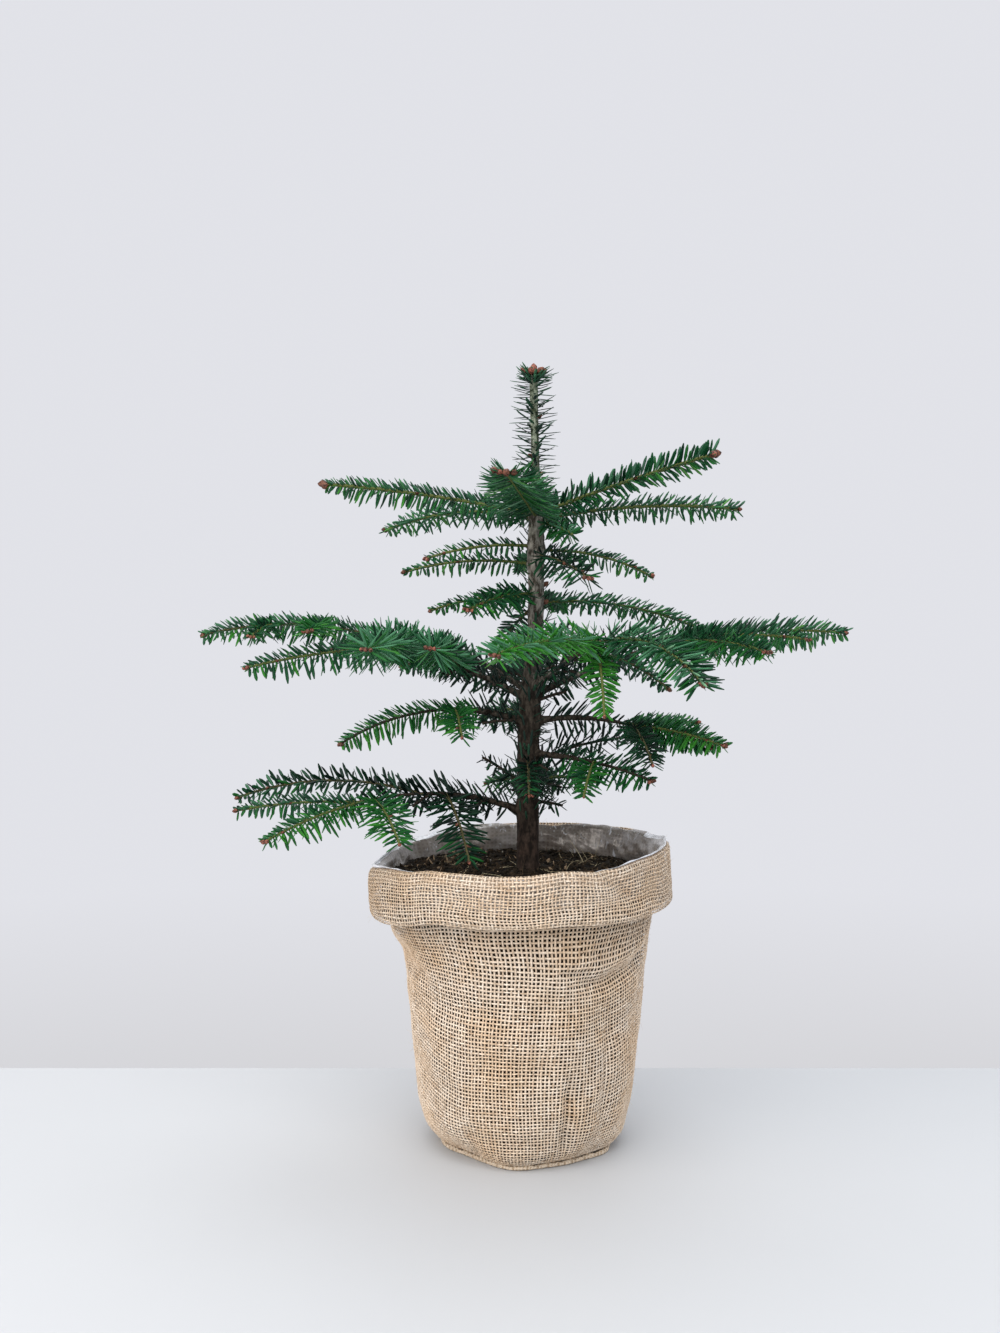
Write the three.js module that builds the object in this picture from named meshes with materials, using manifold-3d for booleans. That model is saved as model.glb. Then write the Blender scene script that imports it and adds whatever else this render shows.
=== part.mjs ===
// A young Caucasian fir sold as a small Christmas tree, growing in a burlap bag lined with film.
// Millimetres, +Z up. The origin is the middle of the bag's flat underside, and -Y is the front.
// Angles are in degrees: azimuth 0 is +X and 90 is the back, and rise is above the horizontal.
import * as THREE from "three";
import { mergeVertices } from "three/addons/utils/BufferGeometryUtils.js";
import Module from "manifold-3d";

const wasm = await Module();
wasm.setup();

// Driving dimensions of the bag
const RIM_HEIGHT = 188; // top of the fold, on average
const HEM_HEIGHT = 151; // foot of the turned-down cuff, on average
const CLOTH = 1.6; // two jute threads and their crossing
const FILM = 0.5;
const CLEAR = 0.3; // between solids that touch in life
const BAG_SIDES = 30;
const BAG_WALL = [
  // height and radius of the cloth's outer face
  [0, 46],
  [5, 57],
  [11, 62],
  [24, 67.2],
  [51, 71.4],
  [83, 74],
  [115, 76.6],
  [130, 78.8],
  [145, 82],
  [166, 86.6],
  [RIM_HEIGHT, 91],
];

// Driving dimensions of the tree
const SOIL_LEVEL = 171;
const TREE_TOP = 484;
const TRUNK_GIRTH = [
  // height and radius
  [SOIL_LEVEL, 8.2],
  [178, 7.4],
  [205, 6.9],
  [275, 6.6],
  [300, 5.6],
  [340, 4.7],
  [394, 4.3],
  [403, 2.9],
  [TREE_TOP, 1.9],
];
const NEEDLE = {
  length: 15.5,
  tipWidth: 1.6,
  ring: 5.1, // each ring of a shoot bears two, and each stands for three real needles
  twist: 25, // from one ring of a shoot to the next
  lean: 63, // from the shoot's own line, less on top of it
};
const BUD = { length: 5.6, radius: 2.1 };
const KEEP_CLEAR = 1.6; // a needle nearer than this to another limb or needle isn't grown

const { cos, sin, PI, min, max, hypot, atan2, round } = Math;
const rad = (degrees) => (degrees * PI) / 180;
const clamp = (x) => min(1, max(0, x));
const smooth = (x) => clamp(x) ** 2 * (3 - 2 * clamp(x));
const frac = (x) => x - Math.floor(x);
// A repeatable number from 0 to 1 for the n-th choice of a limb
const chance = (seed, n) => frac(sin(seed * 12.9898 + n * 78.233) * 43758.5453);

function along(stations, at) {
  const i = stations.findIndex(([s]) => s >= at);
  if (i <= 0) return stations[i < 0 ? stations.length - 1 : 0][1];
  const [[a, ra], [b, rb]] = [stations[i - 1], stations[i]];
  return ra + ((rb - ra) * (at - a)) / (b - a);
}

// The boughs of each whorl, from the top down. A limb leaves the trunk at its height, or its parent
// at a share of the parent's length, and bends evenly through `bend` degrees along its own length.
// The first `bare` millimetres are a woody bough; the rest carries needles.
const LIMBS = [
  { name: "crown_left", height: 397, azimuth: 185, rise: 12, length: 127, bend: -8 },
  { name: "crown_left_back", height: 394, azimuth: 144, rise: 12, length: 118, bend: -30 },
  { name: "crown_front", height: 396, azimuth: 260, rise: 11, length: 106, bend: 0 },
  { name: "crown_right", height: 398, azimuth: 348, rise: 21, length: 110, bend: -6 },
  { name: "crown_right_back", height: 394, azimuth: 17, rise: 11, length: 133, bend: -16 },
  { name: "crown_front_stub", height: 391, azimuth: 302, rise: -6, length: 33, bend: -20 },
  { name: "crown_back", height: 396, azimuth: 88, rise: 14, length: 104, bend: -10 },

  { name: "second_left_upper", height: 377, azimuth: 195, rise: 4, length: 65, bend: -22 },
  { name: "second_left_lower", height: 366, azimuth: 174, rise: 8, length: 78, bend: -24 },
  { name: "second_right_front", height: 371, azimuth: 295, rise: -4, length: 64, bend: -16 },
  { name: "second_right", height: 374, azimuth: 14, rise: 2, length: 72, bend: -30 },
  { name: "second_back", height: 368, azimuth: 98, rise: 6, length: 62, bend: -24 },

  { name: "third_left", height: 345, azimuth: 168, rise: 4, length: 63, bend: -24 },
  { name: "third_left_front", height: 347, azimuth: 235, rise: 3, length: 67, bend: -20 },
  { name: "third_right", height: 342, azimuth: 22, rise: 3, length: 117, bend: -26 },
  { name: "third_hanging", height: 337, azimuth: 134, rise: -33, length: 43, bend: -20 },
  { name: "third_back", height: 343, azimuth: 76, rise: 5, length: 70, bend: -22 },

  { name: "main_left", height: 284, azimuth: 197, rise: 27, length: 75, bend: -6, bare: 36,
    shoots: [
      { from: 1, azimuth: 171, rise: 20, length: 136, bend: -34,
        shoots: [
          { from: 0.42, azimuth: 264, rise: 9, length: 49, bend: -20 },
          { from: 0.66, azimuth: 258, rise: 2, length: 41, bend: -20 },
        ] },
      { from: 1, azimuth: 205, rise: 2, length: 106, bend: -14 },
      { from: 0.9, azimuth: 253, rise: 13, length: 97, bend: -18 },
      { from: 0.56, azimuth: 257, rise: 19, length: 75, bend: -14 },
      { from: 0.7, azimuth: 138, rise: 14, length: 66, bend: -22 },
    ] },
  { name: "main_right", height: 291, azimuth: 302, rise: 29, length: 73, bend: -12, bare: 44,
    shoots: [
      { from: 1, azimuth: 308, rise: 16, length: 90, bend: -58 },
      { from: 1, azimuth: 235, rise: 9, length: 108, bend: -20 },
      { from: 0.95, azimuth: 272, rise: -20, length: 60, bend: -40 },
      { from: 0.8, azimuth: 18, rise: -10, length: 59, bend: -30 },
    ] },
  { name: "main_far", height: 286, azimuth: 7, rise: 25, length: 96, bend: -10, bare: 58,
    shoots: [
      { from: 1, azimuth: 358, rise: 9, length: 102, bend: -14 },
      { from: 1, azimuth: 327, rise: 8, length: 84, bend: -14 },
      { from: 0.85, azimuth: 302, rise: 10, length: 100, bend: -20 },
      { from: 0.8, azimuth: 52, rise: 4, length: 72, bend: -20 },
    ] },
  { name: "main_back_left", height: 288, azimuth: 140, rise: 25, length: 66, bend: -8, bare: 34,
    shoots: [
      { from: 1, azimuth: 152, rise: 10, length: 92, bend: -26 },
      { from: 0.9, azimuth: 118, rise: 6, length: 80, bend: -24 },
      { from: 0.6, azimuth: 176, rise: 6, length: 50, bend: -20 },
    ] },
  { name: "main_back", height: 282, azimuth: 84, rise: 26, length: 70, bend: -10, bare: 36,
    shoots: [
      { from: 1, azimuth: 92, rise: 8, length: 88, bend: -24 },
      { from: 0.95, azimuth: 56, rise: 8, length: 78, bend: -22 },
      { from: 0.7, azimuth: 116, rise: 2, length: 56, bend: -26 },
    ] },

  { name: "lower_left", height: 268, azimuth: 194, rise: 20, length: 116, bend: -52, bare: 26,
    shoots: [{ from: 0.36, azimuth: 276, rise: 5, length: 63, bend: -30 }] },
  { name: "lower_right", height: 268, azimuth: 355, rise: 9, length: 57, bend: -24, bare: 28,
    shoots: [
      { from: 1, azimuth: 327, rise: 0, length: 64, bend: -16 },
      { from: 0.97, azimuth: 35, rise: 3, length: 56, bend: -10 },
      { from: 1, azimuth: 276, rise: -2, length: 69, bend: -24 },
    ] },
  { name: "lower_right_inner", height: 243, azimuth: 27, rise: 17, length: 66, bend: -16 },
  { name: "lower_right_low", height: 247, azimuth: 324, rise: 1, length: 83, bend: -16, bare: 20,
    shoots: [{ from: 0.5, azimuth: 257, rise: -10, length: 39, bend: -30 }] },
  { name: "lower_back", height: 262, azimuth: 96, rise: 16, length: 52, bend: -16, bare: 24,
    shoots: [
      { from: 1, azimuth: 78, rise: 2, length: 56, bend: -24 },
      { from: 0.95, azimuth: 122, rise: 0, length: 46, bend: -24 },
    ] },

  { name: "lowest_left", height: 212, azimuth: 191, rise: 21, length: 100, bend: -34, bare: 38,
    shoots: [
      { from: 0.62, azimuth: 167, rise: 15, length: 123, bend: -36 },
      { from: 1, azimuth: 179, rise: 3, length: 77, bend: -14 },
      { from: 1, azimuth: 219, rise: -7, length: 70, bend: -14 },
      { from: 0.92, azimuth: 286, rise: 2, length: 79, bend: -26 },
      { from: 0.46, azimuth: 286, rise: -13, length: 66, bend: -34 },
    ] },
  { name: "lowest_front_spray", height: 243, azimuth: 270, rise: -13, length: 33, bend: -40 },
  { name: "lowest_back", height: 216, azimuth: 82, rise: 16, length: 96, bend: -30, bare: 26,
    shoots: [
      { from: 0.4, azimuth: 128, rise: 4, length: 52, bend: -22 },
      { from: 0.5, azimuth: 40, rise: 4, length: 50, bend: -22 },
    ] },
];

// Solids from three.js geometry, and back
function solidOf(geometry, tolerance = 1e-4) {
  const bare = geometry.index ? geometry.toNonIndexed() : geometry.clone();
  const points = new THREE.BufferGeometry();
  points.setAttribute("position", bare.getAttribute("position"));
  const merged = mergeVertices(points, tolerance);
  return new wasm.Manifold(
    new wasm.Mesh({
      numProp: 3,
      vertProperties: new Float32Array(merged.attributes.position.array),
      triVerts: new Uint32Array(merged.index.array),
    }),
  );
}

function geometryOf(solid) {
  const mesh = solid.getMesh();
  const geometry = new THREE.BufferGeometry();
  geometry.setAttribute("position", new THREE.BufferAttribute(mesh.vertProperties, 3));
  geometry.setIndex(new THREE.BufferAttribute(mesh.triVerts, 1));
  return geometry;
}

// True where the solid is still one closed body once points a thousandth apart are merged
function staysWhole(solid) {
  try {
    return solidOf(geometryOf(solid), 1e-3).decompose().length === 1;
  } catch {
    return false;
  }
}

const material = (color, roughness) => new THREE.MeshStandardMaterial({ color, roughness });
const BURLAP = material("#c9a97f", 0.95);
const FILM_GREY = material("#9c9894", 0.35);
const SOIL = material("#2c211b", 1);
const BARK = material("#5a483c", 0.9);
const NEEDLES = material("#1f5a3a", 0.55);

const group = new THREE.Group();
function place(name, geometry, finish) {
  geometry.computeVertexNormals();
  const mesh = new THREE.Mesh(geometry, finish);
  mesh.name = name;
  group.add(mesh);
}

const bump = (x, middle, width) => Math.exp(-(((x - middle) / width) ** 2));
const turnsFrom = (angle, degrees) => frac((angle * 180) / PI / 360 - degrees / 360 + 0.5) * 360 - 180;

// The filled bag isn't a true round. Its foot is a rounded square on the base seam, the wall sags
// into a few soft folds, and the mouth leans over to the left.
function fold(angle, height) {
  const foot = 1 - smooth(height / 18);
  const mouth = smooth((height - 118) / 60);
  return (
    foot * (0.105 * cos(4 * angle + rad(12)) + 0.1 * bump(turnsFrom(angle, 327), 0, 17)) +
    (1 - mouth) * (0.016 * cos(angle) + 0.008 * cos(3 * angle - 0.9)) +
    mouth * (0.008 * cos(5 * angle + 0.4) - 0.034 * cos(angle)) -
    0.03 * bump(turnsFrom(angle, 306 + (height - 60) * 0.22), 0, 13) * bump(height, 88, 34) +
    0.022 * bump(turnsFrom(angle, 322), 0, 12) * bump(height, 112, 22) -
    0.028 * bump(turnsFrom(angle, 205), 0, 15) * bump(height, 44, 26) -
    0.03 * bump(turnsFrom(angle, 318), 0, 10) * bump(height, 22, 26) +
    0.045 * bump(turnsFrom(angle, 186), 0, 24) * bump(height, 139, 9)
  );
}

// The fold at the mouth stands higher on the right and dips on the left; the hem below it waves
const rimLift = (angle) =>
  3 * cos(angle) - 9 * bump(turnsFrom(angle, 172), 0, 34) - 2.4 * bump(turnsFrom(angle, 300), 0, 9);
const hemLift = (angle) =>
  1.4 + 2.8 * cos(angle) - 3.6 * cos(2 * angle) + 2.2 * bump(turnsFrom(angle, 236), 0, 14);
function lift(angle, height, out) {
  const rim = rimLift(angle) * smooth((height - 150) / 38) * (out / 91) ** 2;
  return rim + hemLift(angle) * bump(height, HEM_HEIGHT, 22) * smooth((out - 60) / 20);
}

// Turns a profile of [radius, height] pairs round the axis with the bag's folds. Each face is cut
// on the same slant whether the profile runs up or down, so walls a gap apart stay a gap apart.
function turned(profile) {
  const pointAt = ([r, z], side) => {
    const angle = (2 * PI * side) / BAG_SIDES;
    const out = r * (1 + fold(angle, z));
    return new THREE.Vector3(out * cos(angle), out * sin(angle), z + lift(angle, z, r));
  };
  const faces = [];
  for (let i = 0; i < profile.length - 1; i++) {
    for (let side = 0; side < BAG_SIDES; side++) {
      const [a, b] = [pointAt(profile[i], side), pointAt(profile[i], (side + 1) % BAG_SIDES)];
      const [d, c] = [pointAt(profile[i + 1], side), pointAt(profile[i + 1], (side + 1) % BAG_SIDES)];
      const rising = profile[i + 1][1] >= profile[i][1];
      if (profile[i][0] === 0) faces.push(a, c, d);
      else if (profile[i + 1][0] === 0) faces.push(a, b, d);
      else if (rising) faces.push(a, b, c, a, c, d);
      else faces.push(a, b, d, b, c, d);
    }
  }
  return new THREE.BufferGeometry().setFromPoints(faces);
}

// The wall in steps that the cloth, the film and the soil all share, so that they nest
const NEST_LEVELS = [24, 83, 130, 166];
const nested = (inset, floor, top) => [
  [43 - inset, floor],
  ...NEST_LEVELS.filter((z) => z < top).map((z) => [along(BAG_WALL, z) - CLOTH - inset, z]),
  [along(BAG_WALL, top) - CLOTH - inset, top],
];

function burlapBag() {
  const wall = BAG_WALL.filter(([z]) => z > 0 && z < HEM_HEIGHT).map(([z, r]) => [r, z]);
  const outside = [
    [0, 0],
    [along(BAG_WALL, 0), 0],
    ...wall,
    [along(BAG_WALL, 158) + 0.6, 158],
    [91.4, HEM_HEIGHT + 1.4],
    [93.4, HEM_HEIGHT],
    [95, HEM_HEIGHT + 6],
    [95, HEM_HEIGHT + 18],
    [94.6, RIM_HEIGHT - 3.5],
    [92.4, RIM_HEIGHT],
  ];
  const inside = nested(0, CLOTH, RIM_HEIGHT - 1.2).reverse();
  return turned([...outside, ...inside, [0, CLOTH]]);
}

function filmLiner() {
  const floor = CLOTH + CLEAR;
  const outside = nested(CLEAR, floor, RIM_HEIGHT + 1.4);
  const inside = nested(CLEAR + FILM, floor + FILM, RIM_HEIGHT + 1.4).reverse();
  return turned([[0, floor], ...outside, ...inside, [0, floor + FILM]]);
}

function soil() {
  const inset = 2 * CLEAR + FILM;
  const sides = nested(inset, CLOTH + inset + CLEAR, SOIL_LEVEL - 1.6);
  const surface = [
    [62, SOIL_LEVEL + 0.8],
    [40, SOIL_LEVEL - CLEAR],
    [0, SOIL_LEVEL - CLEAR],
  ];
  return turned([[0, CLOTH + inset + CLEAR], ...sides, ...surface]);
}

// The trunk's line leans a little to the right above the lowest boughs
function trunkPoint(height) {
  const sway = 5 * smooth((height - 240) / 110) - 1.8 * smooth((height - 390) / 100);
  return new THREE.Vector3(3.2 + sway, 0, height);
}

// Bends a straight round bar onto a line: lineAt(share) gives its middle, and its own x and y axes
function bentBar(lineAt, radiusAt, sides, steps) {
  const geometry = new THREE.CylinderGeometry(1, 1, 1, sides, steps).rotateX(PI / 2);
  const at = geometry.getAttribute("position");
  const point = new THREE.Vector3();
  for (let i = 0; i < at.count; i++) {
    const share = at.getZ(i) + 0.5;
    const { middle, across, up } = lineAt(share);
    const r = radiusAt(share);
    point.copy(middle).addScaledVector(across, at.getX(i) * r);
    point.addScaledVector(up, at.getY(i) * r);
    at.setXYZ(i, point.x, point.y, point.z);
  }
  return geometry;
}

function trunk() {
  const rise = TREE_TOP - SOIL_LEVEL;
  const across = new THREE.Vector3(1, 0, 0);
  const up = new THREE.Vector3(0, 1, 0);
  const lineAt = (share) => ({ middle: trunkPoint(SOIL_LEVEL + share * rise), across, up });
  const girthAt = (share) => along(TRUNK_GIRTH, SOIL_LEVEL + share * rise);
  return bentBar(lineAt, girthAt, TRUNK_SIDES, 20);
}

// A limb's line is an arc in the upright plane of its azimuth
function pointOn(limb, share) {
  const start = rad(limb.rise);
  const turn = rad(limb.bend || 0.01);
  const out = (limb.length / turn) * (sin(start + turn * share) - sin(start));
  const climb = (limb.length / turn) * (cos(start) - cos(start + turn * share));
  const heading = new THREE.Vector3(cos(rad(limb.azimuth)), sin(rad(limb.azimuth)), 0);
  return limb.start.clone().addScaledVector(heading, out).add(new THREE.Vector3(0, 0, climb));
}

function axesOn(limb, share) {
  const rise = rad(limb.rise + limb.bend * share);
  const azimuth = rad(limb.azimuth);
  const ahead = new THREE.Vector3(cos(azimuth) * cos(rise), sin(azimuth) * cos(rise), sin(rise));
  const up = new THREE.Vector3(-cos(azimuth) * sin(rise), -sin(azimuth) * sin(rise), cos(rise));
  return { ahead, up, across: new THREE.Vector3().crossVectors(up, ahead) };
}

function limbBar(limb, fromShare, toShare, sides, steps) {
  const lineAt = (share) => {
    const s = fromShare + (toShare - fromShare) * share;
    return { middle: pointOn(limb, s), ...axesOn(limb, s) };
  };
  const radiusAt = (share) => {
    const s = fromShare + (toShare - fromShare) * share;
    return limb.girth + (limb.tipGirth - limb.girth) * s;
  };
  return bentBar(lineAt, radiusAt, sides, steps);
}

// How far the trunk's bark stands from its middle, on the way to a point beside it
const TRUNK_SIDES = 8;
function barkBeside(point) {
  const middle = trunkPoint(point.z);
  const turn = frac((atan2(point.y - middle.y, point.x - middle.x) * TRUNK_SIDES) / (2 * PI));
  const flat = cos(PI / TRUNK_SIDES) / cos((turn - 0.5) * ((2 * PI) / TRUNK_SIDES));
  return along(TRUNK_GIRTH, point.z) * flat;
}

// Moves a limb out along its heading until its butt stands the usual gap off the bark
function seat(limb, butt) {
  const heading = new THREE.Vector3(cos(rad(limb.azimuth)), sin(rad(limb.azimuth)), 0);
  limb.start = trunkPoint(limb.height).addScaledVector(heading, 14);
  for (let i = 0; i < 6; i++) {
    const corners = butt(limb);
    const edges = corners.map((at, n) => at.clone().lerp(corners[(n + 1) % corners.length], 0.5));
    const gaps = [limb.start, ...corners, ...edges].map((at) => {
      const middle = trunkPoint(at.z);
      return hypot(at.x - middle.x, at.y - middle.y) - barkBeside(at);
    });
    limb.start.addScaledVector(heading, CLEAR + 0.04 - min(...gaps));
  }
}

// Sets where each limb starts and how thick it is, and lists a whorl's limb with all its shoots
function laidOut(limb, seed) {
  limb.girth = limb.bare ? 2.7 : 1.6;
  limb.tipGirth = limb.bare ? 1.5 : 1.2;
  limb.seed = seed;
  seat(limb, (at) => (at.bare ? roundButt(at) : ringOn(at, 0, at.girth, 0)));
  const all = [limb];
  const grow = (parent) => {
    (parent.shoots || []).forEach((shoot, i) => {
      shoot.start = pointOn(parent, shoot.from);
      shoot.girth = 1.5;
      shoot.tipGirth = 1.2;
      shoot.seed = parent.seed + 0.37 * (i + 1);
      all.push(shoot);
      grow(shoot);
    });
  };
  grow(limb);
  return all;
}

function roundButt(limb) {
  const { up, across } = axesOn(limb, 0);
  return [0, 1, 2, 3, 4, 5].map((side) => {
    const spin = (side * PI) / 3;
    const at = limb.start.clone().addScaledVector(across, limb.girth * sin(spin));
    return at.addScaledVector(up, limb.girth * cos(spin));
  });
}

// The needle on one side of a ring: it leans towards the shoot's tip and holds its flat face to the
// sky and the tip. Those on top are shorter and lie further forward, and few point straight down.
function needleAt(limb, share, spin, k, inRing) {
  const wrapped = frac(spin / 360 + 0.5) * 360 - 180;
  const roundAt = rad(wrapped * (1 - 0.12 * (wrapped / 180) ** 2));
  const top = 0.5 + 0.5 * cos(roundAt);
  const lean = rad(NEEDLE.lean - 14 * top ** 2 + 12 * (chance(limb.seed, 2 * k + inRing) - 0.5));
  const { ahead, up, across } = axesOn(limb, share);
  const radial = up.clone().multiplyScalar(cos(roundAt)).addScaledVector(across, sin(roundAt));
  const direction = ahead.clone().multiplyScalar(cos(lean)).addScaledVector(radial, sin(lean));
  const face = ahead.clone().multiplyScalar(0.75).addScaledVector(up, 0.9);
  face.addScaledVector(direction, -face.dot(direction)).normalize();
  const toTip = (1 - share) * limb.length;
  const ends = (0.55 + 0.45 * smooth(toTip / 26)) * (0.8 + 0.2 * smooth((share * limb.length) / 20));
  const around = 1 - 0.2 * top ** 2 - 0.1 * (1 - top) ** 2;
  const length = NEEDLE.length * ends * around * (0.92 + 0.16 * chance(limb.seed + 5, 2 * k + inRing));
  const root = pointOn(limb, share);
  const tip = root.clone().addScaledVector(direction, length);
  return { root, tip, side: new THREE.Vector3().crossVectors(direction, face), limb };
}

// Skins a run of three-cornered rings. A ring's side may bear a needle, which then stands on that
// side's whole face; the last ring closes on a point.
function ringedSolid(rings, needleOn, point) {
  const faces = [];
  const quad = (a, b, c, d) => faces.push(a, b, c, a, c, d);
  const sides = rings[0].length;
  for (let k = 0; k < rings.length - 1; k++) {
    for (let f = 0; f < sides; f++) {
      const next = (f + 1) % sides;
      const [a, b, c, d] = [rings[k][f], rings[k + 1][f], rings[k + 1][next], rings[k][next]];
      const needle = needleOn(k, f);
      if (!needle) {
        faces.push(a, b, d, b, c, d);
        continue;
      }
      const lengthwise = b.clone().sub(a).normalize();
      const around = d.clone().sub(a).normalize();
      const [byLength, byRing] = [needle.side.dot(lengthwise), needle.side.dot(around)];
      const isLengthwise = Math.abs(byLength) > Math.abs(byRing);
      const half = (needle.tipWidth / 2) * Math.sign(isLengthwise ? byLength : byRing);
      const t0 = needle.tip.clone().addScaledVector(needle.side, -half);
      const t1 = needle.tip.clone().addScaledVector(needle.side, half);
      if (isLengthwise) {
        quad(a, b, t1, t0);
        faces.push(b, c, t1);
        quad(c, d, t0, t1);
        faces.push(d, a, t0);
      } else {
        faces.push(a, b, t0);
        quad(b, c, t1, t0);
        faces.push(c, d, t1);
        quad(d, a, t0, t1);
      }
    }
  }
  const foot = rings[0];
  for (let f = 1; f < sides - 1; f++) faces.push(foot[0], foot[f], foot[f + 1]);
  const head = rings[rings.length - 1];
  for (let f = 0; f < sides; f++) faces.push(head[f], point, head[(f + 1) % sides]);
  return solidOf(new THREE.BufferGeometry().setFromPoints(faces));
}

function ringOn(limb, share, radius, twist, ahead = 0) {
  const axes = axesOn(limb, share);
  const middle = pointOn(limb, share).addScaledVector(axes.ahead, ahead);
  return [0, 1, 2].map((f) => {
    const spin = rad(twist + 120 * f - 60);
    const at = middle.clone().addScaledVector(axes.up, radius * cos(spin));
    return at.addScaledVector(axes.across, radius * sin(spin));
  });
}

// A shoot from a share of its limb's length to the tip, with its needles and the bud that ends it
function shootSolid(limb, first) {
  const count = max(3, round((limb.length * (1 - first)) / NEEDLE.ring));
  const shareOf = (k) => first + (k / count) * (1 - first);
  const rings = [];
  for (let k = 0; k <= count; k++) {
    const radius = limb.girth + (limb.tipGirth - limb.girth) * shareOf(k);
    rings.push(ringOn(limb, shareOf(k), radius, NEEDLE.twist * k));
  }
  rings.push(ringOn(limb, 1, BUD.radius, NEEDLE.twist * count, BUD.length * 0.38));
  const point = pointOn(limb, 1).addScaledVector(axesOn(limb, 1).ahead, BUD.length);
  const bearer = (k, f) => {
    const inRing = [0, 1].find((j) => (2 * k + j) % 3 === f);
    if (k === 0 || k >= count || inRing === undefined) return null;
    const spin = NEEDLE.twist * (k + 0.5) + 120 * f;
    const needle = needleAt(limb, shareOf(k + 0.5), spin, k, inRing);
    needle.tipWidth = NEEDLE.tipWidth;
    if (!hasRoom(needle)) return null;
    taken.push({ ends: [inner(needle), needle.tip], radius: 1.1, limb: null });
    return needle;
  };
  return ringedSolid(rings, bearer, point);
}

// The shortest way between two straight stretches
function gapBetween(p0, p1, q0, q1) {
  const [u, v, w] = [p1.clone().sub(p0), q1.clone().sub(q0), p0.clone().sub(q0)];
  const [a, b, c, d, e] = [u.dot(u), u.dot(v), v.dot(v), u.dot(w), v.dot(w)];
  const flat = a * c - b * b;
  let s = flat > 1e-9 ? clamp((b * e - c * d) / flat) : 0;
  const t = clamp((b * s + e) / c);
  s = clamp((b * t - d) / a);
  return w.addScaledVector(u, s).addScaledVector(v, -t).length();
}

// Stretches that needles keep clear of: each has two ends, a radius and the limb that it belongs to
const taken = [];
function takeLimb(limb, steps = 8) {
  for (let i = 0; i < steps; i++) {
    const ends = [pointOn(limb, i / steps), pointOn(limb, (i + 1) / steps)];
    taken.push({ ends, radius: limb.girth, limb });
  }
  const bud = pointOn(limb, 1).addScaledVector(axesOn(limb, 1).ahead, BUD.length);
  taken.push({ ends: [pointOn(limb, 1), bud], radius: BUD.radius, limb });
}

const inner = (needle) => needle.root.clone().lerp(needle.tip, 0.35);

function hasRoom(needle) {
  const { tip } = needle;
  const out = hypot(tip.x, tip.y);
  const rim = RIM_HEIGHT + rimLift(atan2(tip.y, tip.x));
  if (tip.z < SOIL_LEVEL + 2 * KEEP_CLEAR) return false;
  if (tip.z < rim + 3 * KEEP_CLEAR && out > 76 && out < 106) return false;
  return taken.every(({ ends, radius, limb }) => {
    if (limb && limb === needle.limb) return true;
    if (ends[0].distanceTo(tip) > 60) return true;
    return gapBetween(inner(needle), tip, ends[0], ends[1]) > radius + KEEP_CLEAR;
  });
}

// The leader is the top of the trunk: short needles stand out from a thin sleeve of young bark
const LEADER = { foot: 408, needle: 9.5, tipWidth: 1.3, ring: 4.6, sleeve: 1.25, twist: 8 };
function leader() {
  const top = TREE_TOP + 1.2;
  const count = round((top - LEADER.foot) / LEADER.ring);
  const heightOf = (k) => LEADER.foot + (k / count) * (top - LEADER.foot);
  const ringAt = (z, radius, twist) =>
    [0, 1, 2, 3, 4].map((f) => {
      const spin = rad(-(twist + 72 * f - 36));
      return trunkPoint(z).add(new THREE.Vector3(cos(spin) * radius, sin(spin) * radius, 0));
    });
  const rings = [];
  for (let k = 0; k <= count; k++) {
    rings.push(ringAt(heightOf(k), along(TRUNK_GIRTH, heightOf(k)) + LEADER.sleeve, LEADER.twist * k));
  }
  rings.push(ringAt(top + 1.8, 3.3, LEADER.twist * count));
  const bearer = (k, f) => {
    if (k === count || ![(2 * k) % 5, (2 * k + 2) % 5].includes(f)) return null;
    const z = heightOf(k + 0.5);
    const heading = rad(-(LEADER.twist * (k + 0.5) + 72 * f));
    const lean = rad(k === count - 1 ? 50 : 82 - 16 * chance(91, 5 * k + f));
    const radial = new THREE.Vector3(cos(heading), sin(heading), 0);
    const direction = radial.clone().multiplyScalar(sin(lean)).add(new THREE.Vector3(0, 0, cos(lean)));
    const root = trunkPoint(z).addScaledVector(radial, along(TRUNK_GIRTH, z) + 0.6);
    const tip = root.clone().addScaledVector(direction, LEADER.needle);
    const side = new THREE.Vector3(-sin(heading), cos(heading), 0);
    return { root, tip, side, tipWidth: LEADER.tipWidth };
  };
  const sleeve = ringedSolid(rings, bearer, trunkPoint(top + 5.4));
  const axes = { across: new THREE.Vector3(1, 0, 0), up: new THREE.Vector3(0, 1, 0) };
  const [low, high] = [LEADER.foot - 3, TREE_TOP + CLEAR];
  const boreAt = (share) => ({ middle: trunkPoint(low + share * (high - low)), ...axes });
  const boreGirth = (share) => along(TRUNK_GIRTH, low + share * (high - low)) + CLEAR + 0.05;
  return sleeve.subtract(solidOf(bentBar(boreAt, boreGirth, TRUNK_SIDES, 8)));
}

place("burlap_bag", burlapBag(), BURLAP);
place("film_liner", filmLiner(), FILM_GREY);
place("soil", soil(), SOIL);
place("trunk", trunk(), BARK);

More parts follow.
